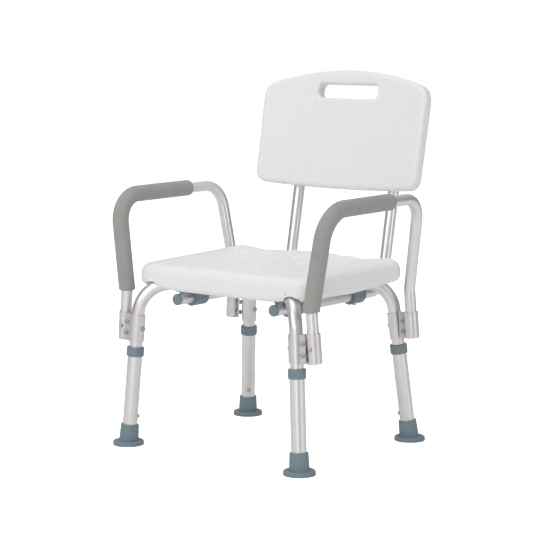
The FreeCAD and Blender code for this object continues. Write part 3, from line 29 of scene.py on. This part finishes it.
# Place along Y of the middle between the feet.
CENTRE_Y = -0.0395

# Camera of the three-quarter view.
CAMERA_PLACE = (2.2989, -3.0017, 0.8317)
CAMERA_TARGET = (0.0065, -0.0345, 0.3301)
CAMERA_LENS = 127.83
SENSOR_WIDTH = 36.0

# Seat: the middle of its underside, its tilt about X, and how finely its copy is meshed and smoothed.
UNDERSIDE_MIDDLE = (0.0, CENTRE_Y, 0.308)
SEAT_TILT = math.radians(1.2)
SEAT_VOXEL = 0.0017
SEAT_SMOOTHING = 6
# Heights over the underside between which the top's contour fades in and the underside's fades out.
TOP_FADE = (0.024, 0.046)
UNDERSIDE_FADE = (0.002, 0.024)
# Contour of the top: how far each form lies from the middle, how wide it is and how high.
REAR_START, REAR_END = 0.02, 0.14
HOLLOW_PLACE, HOLLOW_WIDTH, HOLLOW_DEPTH = 0.117, 0.026, 0.0032
CORNER_PLACE, CORNER_WIDTH, CORNER_HEIGHT = 0.178, 0.020, 0.0016
MIDDLE_WIDTH, MIDDLE_HEIGHT = 0.060, 0.0018
DISH_WIDTH, DISH_LENGTH, DISH_FORWARD, DISH_DEPTH = 0.120, 0.085, 0.02, 0.0022
FRONT_START, FRONT_END, FRONT_DROP = 0.05, 0.15, 0.0010
# Rise of the underside at the front corners.
LIFT_SIDEWAYS = (0.10, 0.20)
LIFT_FORWARD = (0.0, 0.10)
LIFT_HEIGHT = 0.0065
# Dimples round the drain holes: half the spacing in a row, the middle row's place, depth and width.
DRAIN_PITCH = 0.066
DRAIN_CENTRE = 0.010
DRAIN_HOLLOW = 0.0024
DRAIN_SPREAD = 0.0105

# Backrest: how finely its copy is meshed and smoothed.
PANEL_VOXEL = 0.0017
PANEL_SMOOTHING = 8

# How far one pass of smoothing goes on either panel.
SOFTEN_FACTOR = 0.5

# Arm centre line, for the left (+X) arm.
ARM_SOCKET_FRONT = (0.2283, -0.1662, 0.232)
ARM_SOCKET_SPLAY = 0.075
ARM_SOCKET_RAKE = 0.02
ARM_KINK_HEIGHT = 0.304
ARM_FRONT_CORNER = (0.2502, -0.1605, 0.482)
ARM_REAR_CORNER = (0.2455, 0.145, 0.484)
ARM_KINK_BEND = 0.055
ARM_FRONT_BEND = 0.058
ARM_TUBE_RADIUS = 0.0111

# Foam grip: its radius, how far below the kink its path begins, and what each side leaves off there.
GRIP_RADIUS = 0.0160
GRIP_DROP = 0.0080
GRIP_SKIP = {1: 0.0014, -1: 0.0047}
# Place along Y of its rear end, distance between rings, and points round each ring.
GRIP_END = 0.049
GRIP_STEP = 0.0014
GRIP_SEGMENTS = 72
# Rounding of the lower and the rear end, the foam's sag, and rings left out along the bore.
GRIP_LOW_ROUND = 0.0022
GRIP_REAR_ROUND = 0.0065
GRIP_SAG = 0.00035
GRIP_BORE_SKIP = 4
# Unevenness of the foam: how fast it changes along the sleeve and from side to side.
UNEVEN_SCALE = 32.0
UNEVEN_SIDE = 0.02
# Creases inside a bend: rings looked at on each side, and the turn between them that gives full depth.
CREASE_REACH = 6
CREASE_FULL_TURN = 0.25
CREASE_DEPTH = 0.0005
CREASE_PITCH = 0.0085
STRAIGHT = 1e-5

# Soft lights: place, size and power in watts, all aimed at the middle of the chair.
LIGHT_TARGET = (0.0, 0.0, 0.35)
LIGHTS = {
    "overhead": ((-0.4, -0.3, 3.0), (2.6, 2.6), 22.0),
    "key": ((-0.5, -3.4, 2.0), (1.5, 2.0), 34.0),
    "strip": ((1.5, -3.3, 0.9), (0.9, 2.4), 15.0),
    "side": ((3.2, 0.2, 1.2), (1.1, 2.2), 15.0),
    "back": ((-1.6, 2.8, 2.0), (2.0, 1.6), 10.0),
}

# Light from all round: at the horizon, overhead, and the direction's rise where it is full.
AMBIENT_LOW = 0.20
AMBIENT_HIGH = 0.62
AMBIENT_RISE = 0.8

# Floor: half its width, its colour and its own brightness to the camera.
FLOOR_HALF = 14.0
FLOOR_WHITE = (0.92, 0.92, 0.92)
FLOOR_GLOW = 0.75

# Bare metals: colour, roughness, how dark a smudge is, depth of the grain, stretch of the streaks.
ALONG_TUBE = (1500.0, 1500.0, 28.0)
METALS = {
    "aluminium_tube": ((0.80, 0.775, 0.775), 0.36, 0.93, 0.00002, ALONG_TUBE),
    "aluminium_bracket": ((0.74, 0.715, 0.72), 0.38, 0.92, 0.00003, ALONG_TUBE),
    "zinc_steel": ((0.40, 0.44, 0.49), 0.30, 0.85, 0.00005, (400, 400, 400)),
    "button_steel": ((0.62, 0.52, 0.40), 0.28, 0.85, 0.00003, (500, 500, 500)),
    "spring_steel": ((0.52, 0.52, 0.53), 0.3, 0.88, 0.00003, (90, 90, 900)),
}

# Sockets of a colour mix node.
MIX_SHARE, MIX_UNDER, MIX_OVER = 0, 6, 7
MIX_RESULT = 2

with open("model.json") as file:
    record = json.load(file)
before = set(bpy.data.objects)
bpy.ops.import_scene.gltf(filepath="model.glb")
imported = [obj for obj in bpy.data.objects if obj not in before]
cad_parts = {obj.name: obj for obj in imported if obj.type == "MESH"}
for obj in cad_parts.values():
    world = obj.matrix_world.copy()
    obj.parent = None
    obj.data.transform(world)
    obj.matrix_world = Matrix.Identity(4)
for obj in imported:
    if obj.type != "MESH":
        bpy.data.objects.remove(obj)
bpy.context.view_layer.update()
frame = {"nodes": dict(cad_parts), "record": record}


# ---------------------------------------------------------------- materials


class Surface:
    """A node material with one Principled shader, built up a layer at a time."""

    def __init__(self, name, colour, roughness, metallic=0.0):
        self.material = bpy.data.materials.new(name)
        self.material.use_nodes = True
        self.tree = self.material.node_tree
        self.shader = self.tree.nodes["Principled BSDF"]
        self.shader.inputs["Base Color"].default_value = (*colour, 1.0)
        self.shader.inputs["Roughness"].default_value = roughness
        self.shader.inputs["Metallic"].default_value = metallic
        self.colour = colour
        self.coordinates = self.node("ShaderNodeTexCoord").outputs["Object"]
        self.bump = None

    def node(self, kind, **settings):
        made = self.tree.nodes.new(kind)
        for key, value in settings.items():
            setattr(made, key, value)
        return made

    def link(self, output, socket):
        self.tree.links.new(output, socket)

    def constant(self, socket, value):
        self.shader.inputs[socket].default_value = value

    def stretched(self, scale):
        mapping = self.node("ShaderNodeMapping")
        mapping.inputs["Scale"].default_value = scale
        self.link(self.coordinates, mapping.inputs["Vector"])
        return mapping.outputs["Vector"]

    def noise(self, scale, detail=3.0, roughness=0.5, stretch=None):
        texture = self.node("ShaderNodeTexNoise")
        texture.inputs["Scale"].default_value = scale
        texture.inputs["Detail"].default_value = detail
        texture.inputs["Roughness"].default_value = roughness
        source = self.coordinates if stretch is None else self.stretched(stretch)
        self.link(source, texture.inputs["Vector"])
        return texture.outputs["Fac"]

    def cells(self, scale, smoothness=0.6):
        texture = self.node("ShaderNodeTexVoronoi", feature="SMOOTH_F1")
        texture.inputs["Scale"].default_value = scale
        texture.inputs["Smoothness"].default_value = smoothness
        self.link(self.coordinates, texture.inputs["Vector"])
        return texture.outputs["Distance"]

    def remap(self, value, low_in, high_in, low_out, high_out):
        ramp = self.node("ShaderNodeMapRange")
        ramp.inputs["From Min"].default_value = low_in
        ramp.inputs["From Max"].default_value = high_in
        ramp.inputs["To Min"].default_value = low_out
        ramp.inputs["To Max"].default_value = high_out
        self.link(value, ramp.inputs["Value"])
        return ramp.outputs["Result"]

    def tint(self, layers):
        """Mix other colours over the base; layers are (mask, colour) pairs, the mask from 0 to 1."""
        current = None
        for mask, colour in layers:
            mix = self.node("ShaderNodeMix", data_type="RGBA")
            mix.inputs[MIX_UNDER].default_value = (*self.colour, 1.0)
            mix.inputs[MIX_OVER].default_value = (*colour, 1.0)
            if current is not None:
                self.link(current, mix.inputs[MIX_UNDER])
            self.link(mask, mix.inputs[MIX_SHARE])
            current = mix.outputs[MIX_RESULT]
        self.link(current, self.shader.inputs["Base Color"])

    def rough(self, value):
        self.link(value, self.shader.inputs["Roughness"])

    def relief(self, value, depth, strength=1.0):
        """Add a bump layer of a depth in metres on top of the ones before it."""
        bump = self.node("ShaderNodeBump")
        bump.inputs["Distance"].default_value = depth
        bump.inputs["Strength"].default_value = strength
        self.link(value, bump.inputs["Height"])
        if self.bump is not None:
            self.link(self.bump, bump.inputs["Normal"])
        self.bump = bump.outputs["Normal"]
        self.link(self.bump, self.shader.inputs["Normal"])


def moulded_plastic():
    """Off-white blow-moulded polyethylene with a pebbled grain."""
    s = Surface("moulded_white", (0.85, 0.845, 0.848), 0.5)
    s.constant("Specular IOR Level", 0.42)
    s.constant("Subsurface Weight", 0.06)
    s.constant("Subsurface Radius", (0.004, 0.004, 0.0036))
    clouds = s.noise(7.0, 4.0)
    mottle = s.noise(260.0, 3.0, 0.6)
    s.tint(
        [
            (s.remap(clouds, 0.35, 0.7, 0.0, 0.6), (0.82, 0.813, 0.815)),
            (s.remap(mottle, 0.50, 0.72, 0.0, 0.75), (0.765, 0.757, 0.762)),
        ]
    )
    s.rough(s.remap(s.noise(40.0, 4.0), 0.3, 0.7, 0.42, 0.6))
    s.relief(s.noise(14.0, 2.0), 0.0007, 0.5)
    s.relief(s.cells(330.0), 0.0009, 0.8)
    s.relief(s.noise(900.0, 2.0), 0.0001, 0.5)
    return s.material


def foam():
    """Closed-cell foam, mid grey, matt, with fine pores."""
    s = Surface("foam_grey", (0.335, 0.335, 0.322), 0.93)
    s.constant("Specular IOR Level", 0.22)
    s.constant("Sheen Weight", 0.12)
    s.constant("Sheen Roughness", 0.5)
    pores = s.cells(1500.0, 0.3)
    scuffs = s.noise(38.0, 5.0, 0.62)
    s.tint(
        [
            (s.remap(scuffs, 0.5, 0.74, 0.0, 0.65), (0.285, 0.286, 0.276)),
            (s.remap(s.noise(500.0, 3.0), 0.5, 0.72, 0.0, 0.45), (0.40, 0.40, 0.385)),
        ]
    )
    s.rough(s.remap(scuffs, 0.3, 0.7, 0.86, 0.98))
    s.relief(s.noise(60.0, 3.0), 0.0006, 0.5)
    s.relief(pores, 0.00025, 0.6)
    return s.material


def slate_rubber():
    """Blue-grey rubber of the feet, with patches of dust."""
    s = Surface("rubber_slate", (0.185, 0.245, 0.280), 0.60)
    s.constant("Specular IOR Level", 0.38)
    dust = s.noise(55.0, 5.0, 0.65)
    s.tint(
        [
            (s.remap(dust, 0.5, 0.78, 0.0, 0.55), (0.245, 0.30, 0.33)),
            (s.remap(s.noise(420.0, 2.0), 0.5, 0.75, 0.0, 0.3), (0.15, 0.205, 0.238)),
        ]
    )
    s.rough(s.remap(dust, 0.3, 0.75, 0.55, 0.78))
    s.relief(s.noise(700.0, 3.0), 0.00012, 0.6)
    s.relief(s.noise(45.0, 2.0), 0.0003, 0.3)
    return s.material


def slate_plastic():
    """Blue-grey moulded nylon of the collars, brackets and end plugs."""
    s = Surface("plastic_slate", (0.180, 0.236, 0.272), 0.40)
    s.constant("Specular IOR Level", 0.5)
    wear = s.noise(70.0, 4.0, 0.6)
    s.tint([(s.remap(wear, 0.52, 0.78, 0.0, 0.5), (0.235, 0.29, 0.32))])
    s.rough(s.remap(wear, 0.3, 0.72, 0.34, 0.52))
    s.relief(s.noise(1100.0, 2.0), 0.00006, 0.6)
    return s.material


def metal(name, colour, roughness, smudge, grain, streak):
    """Bare or anodised metal: fine grain, faint streaks and soft smudges."""
    s = Surface(name, colour, roughness, 1.0)
    smudges = s.noise(26.0, 5.0, 0.6)
    darker = tuple(c * smudge for c in colour)
    lines = s.noise(1.0, 3.0, 0.5, streak)
    s.tint(
        [
            (s.remap(smudges, 0.45, 0.75, 0.0, 0.7), darker),
            (s.remap(lines, 0.5, 0.8, 0.0, 0.35), tuple(c * 0.9 for c in colour)),
        ]
    )
    s.rough(s.remap(smudges, 0.25, 0.75, roughness - 0.06, roughness + 0.08))
    s.relief(s.noise(2600.0, 2.0), grain, 0.3)
    return s.material


def materials():
    finish = {
        "moulded_white": moulded_plastic(),
        "foam_grey": foam(),
        "rubber_slate": slate_rubber(),
        "plastic_slate": slate_plastic(),
    }
    for name, look in METALS.items():
        finish[name] = metal(name, *look)
    return finish


def dress_nodes(finish):
    """Give every CAD node the detailed material of its own slot."""
    slots = {entry["node"]: entry["material_slot"] for entry in frame["record"]["subparts"]}
    for name, node in frame["nodes"].items():
        node.data.materials.clear()
        node.data.materials.append(finish[slots[name]])


def in_scene(label, data):
    """New object of the scene that shows a mesh, a light or a camera."""
    item = bpy.data.objects.new(label, data)
    bpy.context.scene.collection.objects.link(item)
    return item


# ---------------------------------------------------------------- moulded panels


def remeshed_copy(node_name, label, voxel, smoothing):
    """Evenly meshed, softened copy of a CAD node."""
    source = frame["nodes"][node_name]
    copy = in_scene(label, source.data.copy())
    remesh = copy.modifiers.new("even", "REMESH")
    remesh.mode = "VOXEL"
    remesh.voxel_size = voxel
    remesh.use_smooth_shade = True
    soften = copy.modifiers.new("soften", "SMOOTH")
    soften.factor = SOFTEN_FACTOR
    soften.iterations = smoothing
    graph = bpy.context.evaluated_depsgraph_get()
    mesh = bpy.data.meshes.new_from_object(copy.evaluated_get(graph))
    mesh.name = label
    bpy.data.objects.remove(copy)
    return in_scene(label, mesh)


def vertex_array(mesh):
    places = np.zeros(len(mesh.vertices) * 3, np.float32)
    mesh.vertices.foreach_get("co", places)
    return places.reshape(-1, 3).astype(float)


def store_vertices(mesh, places):
    mesh.vertices.foreach_set("co", places.astype(np.float32).ravel())
    mesh.update()


def ease(value, low, high):
    """Smooth step from 0 at low to 1 at high."""
    share = np.clip((value - low) / (high - low), 0.0, 1.0)
    return share * share * (3 - 2 * share)


def seat_relief(x, y):
    """Height added to the seat's top: dish, rear hollows, raised rear corners and lowered front."""
    rearward = ease(y, REAR_START, REAR_END)
    hollows = np.exp(-(((np.abs(x) - HOLLOW_PLACE) / HOLLOW_WIDTH) ** 2))
    corners = np.exp(-(((np.abs(x) - CORNER_PLACE) / CORNER_WIDTH) ** 2))
    middle = np.exp(-((x / MIDDLE_WIDTH) ** 2))
    dish = np.exp(-((x / DISH_WIDTH) ** 2) - (((y + DISH_FORWARD) / DISH_LENGTH) ** 2))
    forward = ease(-y, FRONT_START, FRONT_END)
    rear = -HOLLOW_DEPTH * hollows + CORNER_HEIGHT * corners + MIDDLE_HEIGHT * middle
    return rearward * rear - DISH_DEPTH * dish - FRONT_DROP * forward


def drain_hollows(x, y):
    """Depth of the dimples round the drain holes, in staggered rows."""
    depth = np.zeros_like(x)
    for row in range(-2, 3):
        centre_y = row * DRAIN_PITCH + DRAIN_CENTRE
        for column in (-2, 0, 2) if row % 2 else (-1, 1):
            away = (x - column * DRAIN_PITCH) ** 2 + (y - centre_y) ** 2
            depth += np.exp(-away / DRAIN_SPREAD**2)
    return DRAIN_HOLLOW * depth


def underside_lift(x, y):
    """Rise of the underside toward the seat's front corners."""
    return LIFT_HEIGHT * ease(np.abs(x), *LIFT_SIDEWAYS) * ease(-y, *LIFT_FORWARD)


def seat():
    """Seat panel with soft edges, a shallow contour, dimples and a rising underside."""
    piece = remeshed_copy("seat_panel", "seat_moulding", SEAT_VOXEL, SEAT_SMOOTHING)
    places = vertex_array(piece.data)
    tilt = Matrix.Rotation(SEAT_TILT, 3, "X")
    turn = np.array(tilt)
    local = (places - np.array(UNDERSIDE_MIDDLE)) @ turn
    x, y, z = local.T
    upper = ease(z, *TOP_FADE)
    lower = 1.0 - ease(z, *UNDERSIDE_FADE)
    contour = seat_relief(x, y) - drain_hollows(x, y)
    local[:, 2] += upper * contour + lower * underside_lift(x, y)
    store_vertices(piece.data, local @ turn.T + np.array(UNDERSIDE_MIDDLE))
    return piece


def backrest():
    return remeshed_copy("backrest_panel", "backrest_moulding", PANEL_VOXEL, PANEL_SMOOTHING)


# ---------------------------------------------------------------- foam grips


def rounded_polyline(points, radii, step, skip):
    """Evenly spaced points along straight runs joined by tangent arcs, a skip from the start."""
    dense = []
    start = points[0]
    for before, corner, after, radius in zip(points, points[1:], points[2:], radii):
        into = (corner - before).normalized()
        out = (after - corner).normalized()
        turn = into.angle(out)
        reach = radius * math.tan(turn / 2)
        first = corner - into * reach
        centre = first + (out - into * into.dot(out)).normalized() * radius
        axis = into.cross(out).normalized()
        dense.append((start, first))
        count = max(8, int(radius * turn / step))
        arc = [
            centre + Matrix.Rotation(turn * i / count, 3, axis) @ (first - centre)
            for i in range(count + 1)
        ]
        dense += list(zip(arc, arc[1:]))
        start = arc[-1]
    dense.append((start, points[-1]))
    corners = [dense[0][0]] + [pair[1] for pair in dense]
    return evenly_spaced(corners, step, skip)


def evenly_spaced(corners, step, skip):
    """Points at even distances along a polyline, and each one's distance from the first."""
    table = np.array([tuple(c) for c in corners])
    lengths = np.concatenate([[0.0], np.cumsum(np.linalg.norm(np.diff(table, axis=0), axis=1))])
    count = int((lengths[-1] - skip) / step)
    marks = np.linspace(skip, lengths[-1], count + 1)
    spaced = [np.interp(marks, lengths, table[:, k]) for k in range(3)]
    return [Vector(p) for p in np.array(spaced).T], marks - skip


def grip_line(sign):
    """Centre line of a foam grip, from its lower end to its rear end."""
    base = Vector(ARM_SOCKET_FRONT)
    lean = Vector((-ARM_SOCKET_SPLAY, -ARM_SOCKET_RAKE, 1.0))
    front = Vector(ARM_FRONT_CORNER)
    rear = Vector(ARM_REAR_CORNER)
    start = base + lean * (ARM_KINK_HEIGHT - GRIP_DROP - base.z)
    kink = base + lean * (ARM_KINK_HEIGHT - base.z)
    rest = (rear - front).normalized()
    end = front + rest * ((GRIP_END - front.y) / rest.y)
    corners = [start, kink, front, end]
    placed = [Vector((sign * p.x, p.y + CENTRE_Y, p.z)) for p in corners]
    radii = [ARM_KINK_BEND, ARM_FRONT_BEND]
    return rounded_polyline(placed, radii, GRIP_STEP, GRIP_SKIP[sign])


def end_rounding(distance, radius):
    """Loss of radius near a rounded end."""
    if distance >= radius:
        return 0.0
    return radius - math.sqrt(max(0.0, radius**2 - (radius - distance) ** 2))


def grip(sign, label):
    """Foam sleeve with rounded ends, slight unevenness and creases inside its bend."""
    line, marks = grip_line(sign)
    total = marks[-1]
    tangents = [(b - a).normalized() for a, b in zip(line, line[1:])]
    tangents.append(tangents[-1])
    rings = []
    for index, (place, tangent, mark) in enumerate(zip(line, tangents, marks)):
        ways = ways_round(tangent)
        behind = tangents[max(index - CREASE_REACH, 0)]
        ahead = tangents[min(index + CREASE_REACH, len(line) - 1)]
        bend = ahead - behind
        inner = bend.normalized() if bend.length > STRAIGHT else ways[0]
        wave = 0.5 + 0.5 * math.cos(2 * math.pi * mark / CREASE_PITCH)
        loss = end_rounding(mark, GRIP_LOW_ROUND) + end_rounding(total - mark, GRIP_REAR_ROUND)
        depth = CREASE_DEPTH * min(1.0, bend.length / CREASE_FULL_TURN) * wave
        ring = []
        for way in ways:
            uneven = noise.noise((place + way * UNEVEN_SIDE) * UNEVEN_SCALE)
            crease = depth * max(0.0, way.dot(inner)) ** 3
            radius = GRIP_RADIUS - loss - GRIP_SAG * (0.5 + 0.5 * uneven) - crease
            ring.append(place + way * radius)
        rings.append(ring)
    stations = list(zip(line, tangents))[::GRIP_BORE_SKIP] + [(line[-1], tangents[-1])]
    bore = [bore_ring(place, tangent) for place, tangent in stations]
    return tube_mesh(label, rings + bore[::-1])


def ways_round(tangent):
    """Directions away from a centre line, once round it, the first one sideways."""
    side = Vector((1.0, 0.0, 0.0))
    across = (side - tangent * side.dot(tangent)).normalized()
    outward = tangent.cross(across).normalized()
    angles = [2 * math.pi * step / GRIP_SEGMENTS for step in range(GRIP_SEGMENTS)]
    return [across * math.cos(angle) + outward * math.sin(angle) for angle in angles]


def bore_ring(place, tangent):
    """Ring where the foam meets the tube."""
    return [place + way * ARM_TUBE_RADIUS for way in ways_round(tangent)]


def tube_mesh(label, rings):
    """Skin over a row of rings, closed back through its own bore."""
    vertices = [tuple(p) for ring in rings for p in ring]
    faces = []
    count = len(rings)
    around = len(rings[0])
    for row in range(count):
        following = (row + 1) % count
        for step in range(around):
            beside = (step + 1) % around
            near = (row * around + step, row * around + beside)
            far = (following * around + beside, following * around + step)
            faces.append(near + far)
    mesh = bpy.data.meshes.new(label)
    mesh.from_pydata(vertices, [], faces)
    mesh.polygons.foreach_set("use_smooth", [True] * len(faces))
    mesh.update()
    return in_scene(label, mesh)


# ---------------------------------------------------------------- set


def studio_floor():
    """Plain floor that looks nearly white to the camera."""
    mesh = bpy.data.meshes.new("studio_floor")
    quarters = ((-1, -1), (1, -1), (1, 1), (-1, 1))
    corners = [(x * FLOOR_HALF, y * FLOOR_HALF, 0) for x, y in quarters]
    mesh.from_pydata(corners, [], [(0, 1, 2, 3)])
    floor = in_scene("studio_floor", mesh)
    surface = Surface("floor_white", FLOOR_WHITE, 0.9)
    surface.constant("Specular IOR Level", 0.1)
    surface.constant("Emission Color", (1.0, 1.0, 1.0, 1.0))
    ray = surface.node("ShaderNodeLightPath")
    glow = surface.remap(ray.outputs["Is Camera Ray"], 0.0, 1.0, 0.0, FLOOR_GLOW)
    surface.link(glow, surface.shader.inputs["Emission Strength"])
    mesh.materials.append(surface.material)


def aim(item, target):
    item.rotation_euler = (Vector(target) - item.location).to_track_quat("-Z", "Y").to_euler()


def area_light(label, place, size, power):
    data = bpy.data.lights.new(label, "AREA")
    data.shape = "RECTANGLE"
    data.size, data.size_y = size
    data.energy = power
    light = in_scene(label, data)
    light.location = place
    aim(light, LIGHT_TARGET)


def studio_world():
    """Light from all round that grows toward the zenith; the camera itself sees white."""
    world = bpy.data.worlds.new("studio")
    bpy.context.scene.world = world
    world.use_nodes = True
    tree = world.node_tree
    soft = tree.nodes["Background"]
    soft.inputs["Color"].default_value = (1.0, 1.0, 1.0, 1.0)
    direction = tree.nodes.new("ShaderNodeTexCoord")
    split = tree.nodes.new("ShaderNodeSeparateXYZ")
    rise = tree.nodes.new("ShaderNodeMapRange")
    rise.inputs["From Min"].default_value = 0.0
    rise.inputs["From Max"].default_value = AMBIENT_RISE
    rise.inputs["To Min"].default_value = AMBIENT_LOW
    rise.inputs["To Max"].default_value = AMBIENT_HIGH
    tree.links.new(direction.outputs["Generated"], split.inputs[0])
    tree.links.new(split.outputs["Z"], rise.inputs["Value"])
    tree.links.new(rise.outputs["Result"], soft.inputs["Strength"])
    backdrop = tree.nodes.new("ShaderNodeBackground")
    backdrop.inputs["Color"].default_value = (1.0, 1.0, 1.0, 1.0)
    seen = tree.nodes.new("ShaderNodeLightPath")
    choose = tree.nodes.new("ShaderNodeMixShader")
    tree.links.new(seen.outputs["Is Camera Ray"], choose.inputs[0])
    tree.links.new(soft.outputs[0], choose.inputs[1])
    tree.links.new(backdrop.outputs[0], choose.inputs[2])
    tree.links.new(choose.outputs[0], tree.nodes["World Output"].inputs["Surface"])


def camera():
    data = bpy.data.cameras.new("camera")
    data.lens = CAMERA_LENS
    data.sensor_width = SENSOR_WIDTH
    item = in_scene("camera", data)
    item.location = CAMERA_PLACE
    aim(item, CAMERA_TARGET)
    bpy.context.scene.camera = item


# ---------------------------------------------------------------- build


def place_piece(piece, body, slot_name, finish, node):
    """Dress a piece, let it ride on its body and hide the CAD node it replaces."""
    piece.data.materials.clear()
    piece.data.materials.append(finish[slot_name])
    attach(piece, body)
    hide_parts(node)


finish = materials()
dress_nodes(finish)
place_piece(seat(), "frame", "moulded_white", finish, "seat_panel")
place_piece(backrest(), "back", "moulded_white", finish, "backrest_panel")
for side, sign in (("left", 1), ("right", -1)):
    foam_grip = grip(sign, "foam_grip_" + side)
    place_piece(foam_grip, "arm_" + side, "foam_grey", finish, "arm_grip_" + side)

studio_floor()
for label, (place, size, power) in LIGHTS.items():
    area_light(label, place, size, power)
studio_world()
camera()
bpy.context.scene.view_settings.view_transform = "Standard"
